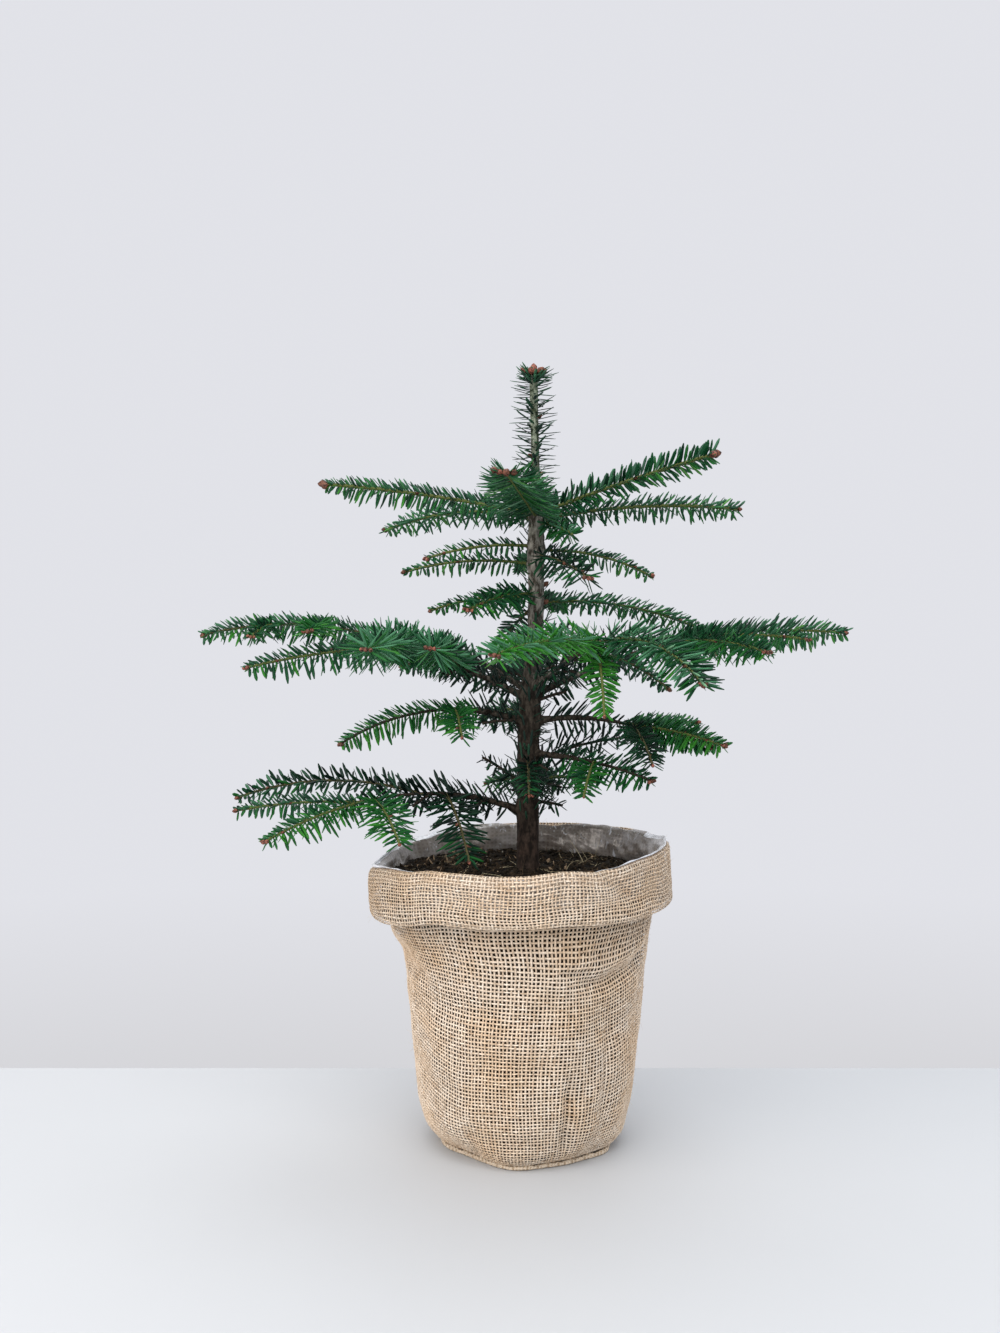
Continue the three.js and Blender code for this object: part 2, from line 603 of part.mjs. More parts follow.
const whorls = LIMBS.map((limb, i) => laidOut(limb, i + 1));
whorls.flat().forEach((limb) => takeLimb(limb));
for (let z = SOIL_LEVEL; z < TREE_TOP; z += 12) {
  const ends = [trunkPoint(z), trunkPoint(z + 12)];
  taken.push({ ends, radius: along(TRUNK_GIRTH, z), limb: null });
}
place("leader_needles", geometryOf(leader()), NEEDLES);
for (const limbs of whorls) {
  const [main] = limbs;
  const bareShare = (main.bare || 0) / main.length;
  if (bareShare) place(main.name + "_bough", limbBar(main, 0, bareShare, 6, 4), BARK);
  const first = bareShare ? bareShare + CLEAR / main.length : 0;
  const shoots = limbs.map((limb) => shootSolid(limb, limb === main ? first : 0));
  const foliage = shoots.reduce((sum, shoot) => sum.add(shoot));
  if (!staysWhole(foliage)) throw new Error(main.name + " falls apart at a thousandth");
  place(main.name + "_foliage", geometryOf(foliage), NEEDLES);
}

export default group;
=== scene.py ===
# A young Caucasian fir, sold as a small Christmas tree, in a burlap bag lined with film.
# Sizes are in millimetres and angles in degrees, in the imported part's own frame:
# +Z is up, -Y is the front, and the origin is the middle of the bag's underside.
import itertools

import bpy
import numpy as np
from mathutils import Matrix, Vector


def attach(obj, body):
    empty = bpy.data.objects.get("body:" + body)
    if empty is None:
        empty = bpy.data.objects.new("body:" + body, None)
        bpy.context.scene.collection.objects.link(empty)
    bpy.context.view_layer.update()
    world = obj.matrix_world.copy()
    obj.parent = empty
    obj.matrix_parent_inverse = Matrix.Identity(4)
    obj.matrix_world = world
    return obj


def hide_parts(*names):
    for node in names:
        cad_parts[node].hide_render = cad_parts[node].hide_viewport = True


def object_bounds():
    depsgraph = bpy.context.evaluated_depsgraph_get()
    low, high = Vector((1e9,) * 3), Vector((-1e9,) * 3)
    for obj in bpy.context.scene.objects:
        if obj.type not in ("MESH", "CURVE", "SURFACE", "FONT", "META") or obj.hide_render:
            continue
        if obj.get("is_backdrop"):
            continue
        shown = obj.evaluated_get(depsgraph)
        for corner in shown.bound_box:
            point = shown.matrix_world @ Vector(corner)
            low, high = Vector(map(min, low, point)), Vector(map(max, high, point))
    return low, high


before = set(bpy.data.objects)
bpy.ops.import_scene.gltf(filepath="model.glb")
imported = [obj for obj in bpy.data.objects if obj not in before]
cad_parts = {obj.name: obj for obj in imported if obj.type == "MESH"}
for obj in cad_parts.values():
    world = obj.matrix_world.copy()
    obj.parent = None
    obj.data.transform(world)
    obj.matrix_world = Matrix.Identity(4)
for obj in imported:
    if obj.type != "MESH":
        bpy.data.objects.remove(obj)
cad_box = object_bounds()

# The camera stands a metre in front of the tree, at three quarters of its height, and looks down on
# it by a few degrees. The light is soft: a large window in front and above, and pale walls all round.
MM = 0.001
CAMERA_PLACE = (-14.4, -1000, 368)
CAMERA_PITCH = 3.8
CAMERA_LENS = 43.2
NEAREST_SEEN = 0.05

camera_data = bpy.data.cameras.new("camera")
camera_data.lens = CAMERA_LENS
camera_data.clip_start = NEAREST_SEEN
camera = bpy.data.objects.new("camera", camera_data)
camera.location = [MM * at for at in CAMERA_PLACE]
camera.rotation_euler = (np.radians(90 - CAMERA_PITCH), 0, 0)
bpy.context.scene.collection.objects.link(camera)
bpy.context.scene.camera = camera
bpy.context.scene.view_settings.view_transform = "Standard"


def soft_lamp(name, place, aim, width, watts, tint):
    """A round lamp, wide enough to throw soft shadows."""
    lamp = bpy.data.lights.new(name, "AREA")
    lamp.shape = "DISK"
    lamp.size = width * MM
    lamp.energy = watts
    lamp.color = tint
    holder = bpy.data.objects.new(name, lamp)
    holder.location = [MM * at for at in place]
    toward = holder.location.copy()
    toward.xyz = [MM * (b - a) for a, b in zip(place, aim)]
    holder.rotation_euler = toward.to_track_quat("-Z", "Y").to_euler()
    bpy.context.scene.collection.objects.link(holder)


soft_lamp("window_light", (-120, -1250, 1600), (0, 0, 230), 1900, 30, (1, 0.985, 0.965))
soft_lamp("left_light", (-1400, -700, 800), (0, 0, 200), 1300, 11, (1, 0.90, 0.81))
soft_lamp("top_light", (100, 500, 1700), (0, 0, 250), 1200, 10, (0.97, 0.985, 1))

# The far wall is one even tone, with painted shade where it nears the table. It stands all round the
# tree, and throws its light back on it from every side.
WALL_TONE = (0.757, 0.764, 0.809)
WALL_FOOT_PAINTED_SHADE = (0.665, 0.665, 0.69)

room = bpy.data.worlds.new("pale_room")
room.use_nodes = True
bpy.context.scene.world = room


def add_node(tree, kind, inputs=None, **settings):
    """A shader node, with each input linked or set."""
    node = tree.nodes.new("ShaderNode" + kind)
    for key, value in settings.items():
        setattr(node, key, value)
    for socket, value in (inputs or {}).items():
        if isinstance(value, bpy.types.NodeSocket):
            tree.links.new(value, node.inputs[socket])
        else:
            node.inputs[socket].default_value = value
    return node


def ramp_node(tree, factor, stops):
    node = add_node(tree, "ValToRGB", {"Fac": factor})
    elements = node.color_ramp.elements
    while len(elements) < len(stops):
        elements.new(0.5)
    for element, (at, colour) in zip(elements, stops):
        element.position = at
        element.color = (*colour, 1)
    return node.outputs["Color"]


outward_way = add_node(room.node_tree, "TexCoord").outputs["Generated"]
climb = add_node(room.node_tree, "SeparateXYZ", {"Vector": outward_way}).outputs["Z"]
# Below this height the wall's colour deepens towards the table: painted shade at the wall's foot.
share = add_node(room.node_tree, "MapRange", {"Value": climb, "From Min": -0.31, "From Max": -0.2})
wall_tone_and_painted_shade = ramp_node(room.node_tree, share.outputs["Result"], [(0, WALL_FOOT_PAINTED_SHADE), (1, WALL_TONE)])
room.node_tree.links.new(wall_tone_and_painted_shade, room.node_tree.nodes["Background"].inputs["Color"])

# The table is a plain painted board, pale and dull. It ends a little way behind the bag, where its
# tone gives way to the wall's.
TABLE_TONE = (0.50, 0.517, 0.534)
TABLE_BACK = 140
TABLE_REACH = 2500
TABLE_LEVEL = -0.05


def new_finish(name, **values):
    """A material, its node tree and its shader, with plain values set on the shader's own sockets."""
    made = bpy.data.materials.new(name)
    made.use_nodes = True
    shader = made.node_tree.nodes["Principled BSDF"]
    for socket, value in values.items():
        shader.inputs[socket.replace("_", " ")].default_value = value
    return made, made.node_tree, shader


def object_place(tree):
    return add_node(tree, "TexCoord").outputs["Object"]


def noise_node(tree, place, scale, detail=2.0, **more):
    inputs = {"Vector": place, "Scale": scale, "Detail": detail, **more}
    return add_node(tree, "TexNoise", inputs).outputs["Fac"]


def mesh_piece(name, points, faces, finishes, finish_of_face=None, unwrap=None, smooth_shaded=True):
    """A mesh object from points in millimetres and arrays of faces with three or more corners."""
    points = np.reshape(points, (-1, 3))
    mesh = bpy.data.meshes.new(name)
    corners = np.concatenate([f.ravel() for f in faces]).astype(np.int32)
    sides = np.concatenate([np.full(len(f), f.shape[1]) for f in faces])
    mesh.vertices.add(len(points))
    mesh.vertices.foreach_set("co", (points * MM).astype(np.float32).ravel())
    mesh.loops.add(len(corners))
    mesh.loops.foreach_set("vertex_index", corners)
    mesh.polygons.add(len(sides))
    mesh.polygons.foreach_set("loop_start", (np.cumsum(sides) - sides).astype(np.int32))
    for finish in finishes:
        mesh.materials.append(finish)
    if finish_of_face is not None:
        mesh.polygons.foreach_set("material_index", np.asarray(finish_of_face, np.int32))
    if unwrap is not None:
        uv_map = mesh.uv_layers.new(name="OFBake")
        uv_map.uv.foreach_set("vector", unwrap.astype(np.float32).ravel())
    mesh.polygons.foreach_set("use_smooth", np.full(len(sides), smooth_shaded))
    mesh.update(calc_edges=True)
    mesh.validate()
    piece = bpy.data.objects.new(name, mesh)
    bpy.context.scene.collection.objects.link(piece)
    return piece


table_finish, tree, shader = new_finish("table_paint", Roughness=0.6)
dim = tuple(0.985 * c for c in TABLE_TONE)
cloud = noise_node(tree, object_place(tree), 5.0)
tree.links.new(ramp_node(tree, cloud, [(0.35, dim), (0.65, TABLE_TONE)]), shader.inputs["Base Color"])
table_corners = [
    (-TABLE_REACH, -TABLE_REACH, TABLE_LEVEL),
    (TABLE_REACH, -TABLE_REACH, TABLE_LEVEL),
    (TABLE_REACH, TABLE_BACK, TABLE_LEVEL),
    (-TABLE_REACH, TABLE_BACK, TABLE_LEVEL),
]
mesh_piece("table_top", np.array(table_corners), [np.array([[0, 1, 2, 3]])], [table_finish])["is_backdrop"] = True

# The bag is a tube of plain jute cloth, stood on a base of the same cloth and filled, with its mouth
# turned down into a cuff. It is a loose plain weave, so each warp and weft thread is made, round and
# a little uneven, going over and under the others, with the film inside showing through the holes.
RIM_HEIGHT = 188
HEM_HEIGHT = 151
CLOTH = 1.6
MEAN_RADIUS = 76
RIM_RADIUS = 91
FILM = 0.5
BAG_WALL = [
    # height and radius of the cloth's outer face
    (0, 46),
    (5, 57),
    (11, 62),
    (24, 67.2),
    (51, 71.4),
    (83, 74),
    (115, 76.6),
    (130, 78.8),
    (145, 82),
    (166, 86.6),
    (RIM_HEIGHT, RIM_RADIUS),
]
CUFF_LINE = [
    # radius and height of the cuff's cloth, from inside the mouth over the fold to the hem
    (88.2, 178),
    (88.8, 184.4),
    (90.4, 187.0),
    (92.3, 187.3),
    (93.8, 185.2),
    (94.3, 181),
    (94.5, 170),
    (94.5, 158.5),
    (94.3, 155.5),
    (93.8, 152.8),
    (92.9, 151.2),
]
THREAD = {"gap": 2.35, "warp_half": 0.60, "weft_half": 0.565, "crest": 0.24, "swing": 0.15}


def smooth(x):
    x = np.clip(x, 0, 1)
    return x * x * (3 - 2 * x)


def bump(x, middle, width):
    return np.exp(-(((x - middle) / width) ** 2))


def turns_from(angle, degrees):
    """How many degrees an angle in radians lies beyond an azimuth, from -180 to 180."""
    return (np.degrees(angle) / 360 - degrees / 360 + 0.5) % 1 * 360 - 180


def facing(angle, azimuth, width):
    """One at this azimuth in degrees, fading to nothing on both sides of it."""
    return bump(turns_from(angle, azimuth), 0, width)


def unit(vectors):
    return vectors / np.linalg.norm(vectors, axis=-1, keepdims=True)


def rounded(stations, at):
    """A smooth curve through (place, value) stations, flat beyond its ends."""
    x, y = np.array(stations, float).T
    slope = np.gradient(y, x)
    at = np.clip(at, x[0], x[-1])
    i = np.clip(np.searchsorted(x, at) - 1, 0, len(x) - 2)
    run = x[i + 1] - x[i]
    t = (at - x[i]) / run
    start = (1 + 2 * t) * (1 - t) ** 2 * y[i] + t * (1 - t) ** 2 * run * slope[i]
    return start + t * t * (3 - 2 * t) * y[i + 1] - t * t * (1 - t) * run * slope[i + 1]


def lumps(points, size, seed):
    """Soft random relief from -1 to 1, with lumps of about this size."""
    at = points / size
    base_cell = np.floor(at)
    share = smooth(at - base_cell)
    total = np.zeros(points.shape[:-1])
    for corner in np.ndindex(2, 2, 2):
        lattice = (base_cell + corner) @ np.array([127.1, 311.7, 74.7])
        value = np.sin(lattice + seed * 12.9898) * 43758.5453
        weight = np.prod(np.where(np.array(corner) == 1, share, 1 - share), axis=-1)
        total += (value - np.floor(value)) * weight
    return 2 * total - 1


def fold(angle, height):
    """How far the filled bag departs from a true round, as a share of its radius."""
    foot = 1 - smooth(height / 20)
    mouth = smooth((height - 118) / 60)
    corners = 0.085 * facing(angle, 263, 15) + 0.065 * facing(angle, 336, 20)
    corners = corners + 0.07 * facing(angle, 84, 22) + 0.06 * facing(angle, 146, 18)
    flats = 0.11 * facing(angle, 226, 20) + 0.05 * facing(angle, 30, 20)
    return (
        foot * (corners - flats)
        + (1 - mouth) * (0.016 * np.cos(angle) + 0.008 * np.cos(3 * angle - 0.9))
        + mouth * (0.008 * np.cos(5 * angle + 0.4) - 0.034 * np.cos(angle))
        - 0.03 * facing(angle, 306 + (height - 60) * 0.22, 13) * bump(height, 88, 34)
        + 0.022 * facing(angle, 322, 12) * bump(height, 112, 22)
        - 0.028 * facing(angle, 205, 15) * bump(height, 44, 26)
        - 0.03 * facing(angle, 318, 10) * bump(height, 22, 26)
        + 0.045 * facing(angle, 186, 24) * bump(height, 139, 9)
    )


def rim_lift(angle):
    """The fold at the mouth stands higher on the right and dips on the left."""
    lean = 3 * np.cos(angle) - 9 * facing(angle, 172, 34)
    return lean - 2.4 * facing(angle, 300, 9)


def hem_lift(angle):
    """The cuff's hem hangs unevenly, as it was turned down by hand."""
    wave = 1.4 + 2.8 * np.cos(angle) - 3.6 * np.cos(2 * angle)
    return wave + 2.2 * facing(angle, 236, 14) + 3.2 * facing(angle, 344, 26)


def lift(angle, height, out):
    """How far the cloth near the mouth rises with its rim and its hem."""
    rim = rim_lift(angle) * smooth((height - 150) / 38) * (out / RIM_RADIUS) ** 2
    return rim + hem_lift(angle) * bump(height, HEM_HEIGHT, 22) * smooth((out - 60) / 20)


def crease(angle, height, line, depth, width):
    """A dent along a line of (azimuth, height) points, deepest along its middle."""
    turn = turns_from(angle, line[0][0])
    spans = [((a[0] - line[0][0]), a[1]) for a in line]
    middle = np.interp(turn, [s[0] for s in spans], [s[1] for s in spans])
    first, last = spans[0][0], spans[-1][0]
    share = (turn - first) / (last - first)
    return depth * smooth(share * 4) * smooth((1 - share) * 4) * bump(height, middle, width)


def on_cylinder(angle, height):
    """A place on a plain round bag, where random relief is looked up."""
    return np.stack([MEAN_RADIUS * np.cos(angle), MEAN_RADIUS * np.sin(angle), height + 0 * angle], -1)


CREASES = [
    # azimuth and height along the dent, its depth and half its width
    ([(284, 121), (305, 116), (330, 121), (352, 128)], 4.0, 5.4),
    ([(284, 130), (305, 125.5), (330, 131), (352, 138)], -2.0, 5.4),
    ([(283, 124), (293, 123.4), (303, 125)], 1.8, 2.6),
    ([(222, 96), (240, 101), (262, 98)], 1.5, 7),
    ([(188, 112), (200, 118), (221, 116)], 2.2, 5),
    ([(236, 62), (262, 70), (290, 64)], 1.4, 8),
    ([(30, 92), (70, 84), (110, 90)], 2.4, 7),
    ([(120, 70), (150, 62), (176, 66)], 2.4, 7),
]
FOOT_PLEATS = [
    # azimuth, half its width, depth, and how high it reaches and over what it fades
    (240, 4, 2.2, 34, 20),
    (62, 4, 2.2, 46, 26),
    (133, 4, 1.8, 40, 24),
]


def wrinkles(angle, height):
    """Dents and soft ripples of the cloth between its main folds."""
    dents = sum(crease(angle, height, *dent) for dent in CREASES)
    pleats = 3.0 * facing(angle, 292, 2.8) * smooth((height - 6) / 12) * smooth((66 - height) / 22)
    pleats = pleats + 2.2 * facing(angle, 316, 3.6) * bump(height, 58, 28)
    for azimuth, width, depth, top, fade in FOOT_PLEATS:
        pleats = pleats + depth * facing(angle, azimuth, width) * smooth((top - height) / fade)
    at = on_cylinder(angle, height)
    return 1.5 * lumps(at, 27, 61) + 0.8 * lumps(at, 12, 62) - dents - pleats


# Places where the filling pulled the cloth askew, each by its azimuth, height and twist
SKEWED = [(326, 84, 0.2), (214, 74, -0.2), (60, 90, 0.2), (130, 60, -0.2)]


def drift(angle, height):
    """How far the cloth's own threads wander from upright and level: a turn and a rise."""
    free = smooth((height - 8) / 16) * smooth((146 - height) / 22)
    at = on_cylinder(angle, height)
    rise = 1.6 * np.sin(2 * angle + 0.6) + 1.0 * np.sin(3 * angle - height / 31)
    rise = rise + 0.8 * lumps(at, 24, 63)
    turn = 0.016 * np.sin(height / 21 + 3 * angle) + 0.014 * np.sin(height / 37 - 2 * angle + 1)
    for azimuth, level, twist in SKEWED:
        across, up = np.radians(turns_from(angle, azimuth)) * MEAN_RADIUS, height - level
        near = np.exp(-((across / 42) ** 2) - (up / 56) ** 2)
        turn = turn - twist * up / MEAN_RADIUS * near
        rise = rise + twist * across * near
    on_cuff = smooth((height - 153) / 8) * smooth((184 - height) / 8)
    turn = turn * free + on_cuff * 0.022 * lumps(at, 17, 68)
    rise = rise * free + on_cuff * (1.5 * lumps(at, 20, 67) + 0.6 * np.sin(5 * angle))
    return turn, rise


def cuff_ripple(angle, height, on_cuff):
    """The cuff's soft waves, with two folds in front and one at the left."""
    at = on_cylinder(angle, height)
    below_fold = 186 - height
    folds = 3.2 * facing(angle, 303 + below_fold * 0.55, 3.6) + 2.0 * facing(angle, 284, 2.6)
    ripple = (1.7 * lumps(at, 21, 64) + 0.8 * lumps(at, 9, 65)) * on_cuff
    ripple = ripple - folds * smooth((height - 158) / 14)
    return ripple - 1.8 * facing(angle, 231 - below_fold * 0.3, 4) * on_cuff


def bag_point(angle, out, height):
    """The place of a point that the bag's profile has at this radius and height."""
    turn, rise = drift(angle, height)
    angle, height = angle + turn, height + rise
    on_wall = smooth((height - 3) / 8) * smooth((150 - height) / 14) * smooth((out - 30) / 20)
    on_cuff = smooth((height - 146) / 10)
    ripple = on_wall * wrinkles(angle, height) + cuff_ripple(angle, height, on_cuff)
    bent = out * (1 + fold(angle, height)) + ripple
    waver = on_cuff * 1.1 * lumps(on_cylinder(angle, 0), 15, 66)
    risen = height + lift(angle, height, out) + waver
    return np.stack([bent * np.cos(angle), bent * np.sin(angle), risen], -1)


def along_line(line, at):
    """The radius and height at a distance along a profile line, rounded at its corners."""
    line = np.array(line, float)
    steps = np.hypot(*np.diff(line, axis=0).T)
    run = np.concatenate([[0], np.cumsum(steps)])
    return rounded(list(zip(run, line[:, 0])), at), rounded(list(zip(run, line[:, 1])), at)


def line_length(line):
    return np.hypot(*np.diff(np.array(line, float), axis=0).T).sum()


def uneven(threads, stations, knots_apart, seed, wraps):
    """A smooth random run from -1 to 1 along each of many threads."""
    dice = np.random.default_rng(seed)
    knots = max(4, stations // knots_apart)
    values = dice.uniform(-1, 1, (threads, knots + 1))
    if wraps:
        values[:, -1] = values[:, 0]
    at = np.arange(stations) / (stations if wraps else stations - 1) * knots
    i = np.minimum(at.astype(int), knots - 1)
    return values[:, i] + (values[:, i + 1] - values[:, i]) * smooth(at - i)


def tube_faces(tubes, stations, around, wraps):
    """Faces that skin many tubes whose points lie in order: tube, station, place round it."""
    t = np.arange(tubes)[:, None, None] * stations * around
    s = np.arange(stations if wraps else stations - 1)[None, :, None]
    a = np.arange(around)[None, None, :]
    ring, ring_after, beside = t + s * around, t + (s + 1) % stations * around, (a + 1) % around
    corners = [ring + a, ring + beside, ring_after + beside, ring_after + a]
    return np.stack(np.broadcast_arrays(*corners), -1).reshape(-1, 4)


def end_faces(tubes, stations, around):
    """The faces that close both ends of each tube."""
    first = np.arange(tubes)[:, None] * stations * around + np.arange(around)[None, ::-1]
    last = first[:, ::-1] + (stations - 1) * around
    return np.concatenate([first, last])


def body_faces(tubes, stations, around, wraps=False):
    """The sides of tubes, and both ends of each that doesn't close on itself."""
    sides = tube_faces(tubes, stations, around, wraps)
    return [sides] if wraps else [sides, end_faces(tubes, stations, around)]


def strip_unwrap(tubes, stations, around, wraps=False):
    """Lays each tube out as a strip, side by side with the others, and its ends in a corner."""
    spans = stations if wraps else stations - 1
    tube, span, side = np.meshgrid(np.arange(tubes), np.arange(spans), np.arange(around), indexing="ij")
    left, right = side / around, (side + 1) / around
    strips = [(span, left), (span, right), (span + 1, right), (span + 1, left)]
    laid = [np.stack([along / spans, (tube + 0.04 + 0.92 * across) / tubes], -1) for along, across in strips]
    laid = np.stack(laid, -2).reshape(-1, 2)
    return laid if wraps else np.concatenate([laid, np.full((2 * tubes * around, 2), 0.001)])


def woven(line, round_count, seed):
    """Warp and weft threads of a plain weave on the bag's surface, as two lots of tubes."""
    length = line_length(line)
    rows = int(round(length / THREAD["gap"]))
    step = 0.05  # how far the cloth is felt to both sides for the way it faces

    def cloth_at(angle, row_at):
        return bag_point(angle, *along_line(line, row_at / rows * length))

    def surface(round_at, row_at, height):
        angle, turn = round_at / round_count * 2 * np.pi, step / round_count
        way_round = cloth_at(angle + turn, row_at) - cloth_at(angle - turn, row_at)
        way_up = cloth_at(angle, row_at + step) - cloth_at(angle, row_at - step)
        return cloth_at(angle, row_at) + unit(np.cross(way_round, way_up)) * height[..., None]

    lots = []
    for is_warp in (True, False):
        threads, cells = (round_count, rows) if is_warp else (rows, round_count)
        stations = 2 * cells
        along = (np.arange(stations) / 2 + 0.25)[None, :]
        number = np.arange(threads)[:, None]
        crossing = np.floor(along).astype(int)
        over = np.where((number + crossing) % 2 == 0, 1.0, -1.0) * (1 if is_warp else -1)
        sway, shake, swell, slub = [
            uneven(threads, stations, knots_apart, seed + k, not is_warp)
            for k, knots_apart in ((1, 9), (2, 3), (3, 5), (4, 4))
        ]
        middle = number + 0.5 + ((0.11 if is_warp else 0.10) * sway + 0.05 * shake)
        girth = 1 + 0.14 * swell + 0.22 * np.maximum(slub - 0.45, 0)
        girth = girth * (1 + 0.09 * np.random.default_rng(seed + 5).uniform(-1, 1, (threads, 1)))
        half = THREAD["warp_half" if is_warp else "weft_half"] / THREAD["gap"] * girth
        belly = -0.42 * THREAD["crest"]
        sections = [(1, belly), (-1, belly)] if is_warp else [(-1, belly), (1, belly)]
        points = []
        for across, rise in [*sections, (0, THREAD["crest"])]:
            beside = middle + across * half
            along_all = np.broadcast_to(along, beside.shape)
            at = (beside, along_all) if is_warp else (along_all, beside)
            points.append(surface(*at, THREAD["swing"] * over + rise * girth))
        lots.append((np.stack(points, -2), not is_warp))
    return lots


def thread_piece(name, lot, finish):
    """One lot of threads as a piece of the bag."""
    points, wraps = lot
    shape = points.shape[:3]
    unwrap = strip_unwrap(*shape, wraps)
    piece = mesh_piece(name, points, body_faces(*shape, wraps), [finish], unwrap=unwrap)
    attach(piece, "root")
    return piece


def stretched(tree, place, scale):
    return add_node(tree, "Mapping", {"Vector": place, "Scale": scale}).outputs["Vector"]


def mix_node(tree, share, under, over, blend="MIX"):
    inputs = {"Factor": share, "A": under, "B": over}
    return add_node(tree, "Mix", inputs, data_type="RGBA", blend_type=blend).outputs["Result"]


def add_bump(tree, shader, height, strength, distance):
    depth = {"Height": height, "Strength": strength, "Distance": distance * MM}
    node = add_node(tree, "Bump", depth)
    tree.links.new(node.outputs["Normal"], shader.inputs["Normal"])


JUTE_TONES = [
    # share of the yarn's own noise, and its colour there
    (0.24, (0.54, 0.405, 0.285)),
    (0.42, (0.75, 0.615, 0.48)),
    (0.58, (0.87, 0.745, 0.61)),
    (0.76, (0.93, 0.85, 0.745)),
]


def jute_finish(name, strands, runs):
    """Raw jute yarn: straw and tan, streaked along each strand, with browner strands here and there."""
    made, tree, shader = new_finish(name, Roughness=0.9, Specular_IOR_Level=0.15)
    uv = add_node(tree, "UVMap", uv_map="OFBake").outputs["UV"]
    strand = noise_node(tree, stretched(tree, uv, (runs, strands, 1)), 1.0)
    fibre = noise_node(tree, stretched(tree, uv, (60, strands * 5, 1)), 1.0, 3.0)
    patch = noise_node(tree, object_place(tree), 34.0, 4.0)
    streaks = ramp_node(tree, fibre, [(0.3, (0.78, 0.73, 0.67)), (0.55, (1, 1, 1))])
    patches = ramp_node(tree, patch, [(0.36, (0.95, 0.875, 0.785)), (0.60, (1, 1, 1))])
    streaked = mix_node(tree, 1, ramp_node(tree, strand, JUTE_TONES), streaks, "MULTIPLY")
    patched = mix_node(tree, 1, streaked, patches, "MULTIPLY")
    tree.links.new(patched, shader.inputs["Base Color"])
    add_bump(tree, shader, fibre, 0.5, 0.25)
    return made


BODY_STRANDS = 194
CUFF_STRANDS = 254
wall_line = [(r - 0.75, z) for z, r in BAG_WALL if 8 < z < 150]
wall_line = [(50.0, 2.4), (55.2, 4.9), *wall_line, (82.7, 151.5)]
body_warp, body_weft = woven(wall_line, BODY_STRANDS, 11)
cuff_warp, cuff_weft = woven(CUFF_LINE, CUFF_STRANDS, 23)
warp = thread_piece("bag_warp_threads", body_warp, jute_finish("jute_warp", BODY_STRANDS, 20))
weft = thread_piece("bag_weft_threads", body_weft, jute_finish("jute_weft", 70, 60))
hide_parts("burlap_bag")
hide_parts("burlap_bag")
thread_piece("cuff_warp_threads", cuff_warp, jute_finish("jute_cuff_warp", CUFF_STRANDS, 8))
thread_piece("cuff_weft_threads", cuff_weft, jute_finish("jute_cuff_weft", 26, 70))

# The foot of the bag: a base of the same cloth is sewn in with its seam turned out, so a rolled
# ridge of doubled cloth runs round the edge, and the base lies flat on the table.
ROLL = {"radius": 1.5, "sides": 8, "steps": 360}
base_angle = np.linspace(0, 2 * np.pi, ROLL["steps"], endpoint=False)
roll_out = 53.0 + 0.6 * np.sin(7 * base_angle) + 0.4 * np.sin(11 * base_angle + 1)
roll_out = roll_out - 2.4 * facing(base_angle, 264, 14)
roll_line = bag_point(base_angle, roll_out, np.full_like(base_angle, 0.0))
roll_radius = ROLL["radius"] * (1 + 0.12 * np.sin(23 * base_angle) + 0.08 * np.sin(41 * base_angle))
roll_heading = unit(roll_line * [1, 1, 0])
roll_points = []
for side in range(ROLL["sides"]):
    turn = 2 * np.pi * side / ROLL["sides"]
    ring = roll_line + roll_heading * (roll_radius * np.cos(turn))[:, None]
    ring[:, 2] = roll_radius + 0.05 + roll_radius * np.sin(turn)
    roll_points.append(ring)
roll_points = np.stack(roll_points, 1)[None]
base_rings = np.linspace(0.01, 0.99, 12)
disc = roll_line[None] * base_rings[:, None, None]
disc[:, :, 2] = 0.6
roll_faces = tube_faces(1, ROLL["steps"], ROLL["sides"], True)
disc_faces = tube_faces(1, len(base_rings), ROLL["steps"], False) + ROLL["steps"] * ROLL["sides"]


def cloth_finish():
    """The same jute cloth where its weave is too close to see thread by thread."""
    made, tree, shader = new_finish("jute_cloth", Roughness=0.95, Specular_IOR_Level=0.2)
    rows = {"Vector": object_place(tree), "Scale": 150.0, "Distortion": 3.5, "Detail": 3.0}
    across = add_node(tree, "TexWave", rows, bands_direction="X").outputs["Fac"]
    level = add_node(tree, "TexWave", rows, bands_direction="Y").outputs["Fac"]
    weave = add_node(tree, "Math", {0: across, 1: level}, operation="ADD").outputs["Value"]
    tones = [(0.15, (0.42, 0.31, 0.205)), (0.5, (0.60, 0.47, 0.335)), (0.95, (0.72, 0.60, 0.46))]
    tree.links.new(ramp_node(tree, weave, tones), shader.inputs["Base Color"])
    add_bump(tree, shader, weave, 0.8, 0.6)
    return made


base = mesh_piece(
    "bag_base_seam",
    np.concatenate([roll_points.reshape(-1, 3), disc.reshape(-1, 3)]),
    [roll_faces, disc_faces],
    [cloth_finish()],
)
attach(base, "root")

# Loose fibres: jute sheds short hairs that stand off its yarns, and holds a few dark woody bits
# of stalk, caught in the weave.
FIBRES, STALKS = 1500, 70


def hairs(starts, ways, lengths, curls, radius, stations=5):
    """Thin three-sided hairs, each bent evenly one way, as points in order: hair, station, side."""
    share = np.linspace(0, 1, stations)[None, :, None]
    way, curl = ways[:, None, :], curls[:, None, :]
    middle = starts[:, None, :] + lengths[:, None, None] * (way * share + curl * share**2)
    ahead = unit(way + 2 * curl * share)
    side = unit(np.cross(ahead, np.array([0.31, 0.52, 0.79])))
    up = np.cross(side, ahead)
    thick = radius[:, None, None] * (1 - 0.7 * share)
    turns = np.radians([0, 120, 240])
    return np.stack([middle + thick * (side * np.cos(t) + up * np.sin(t)) for t in turns], -2)


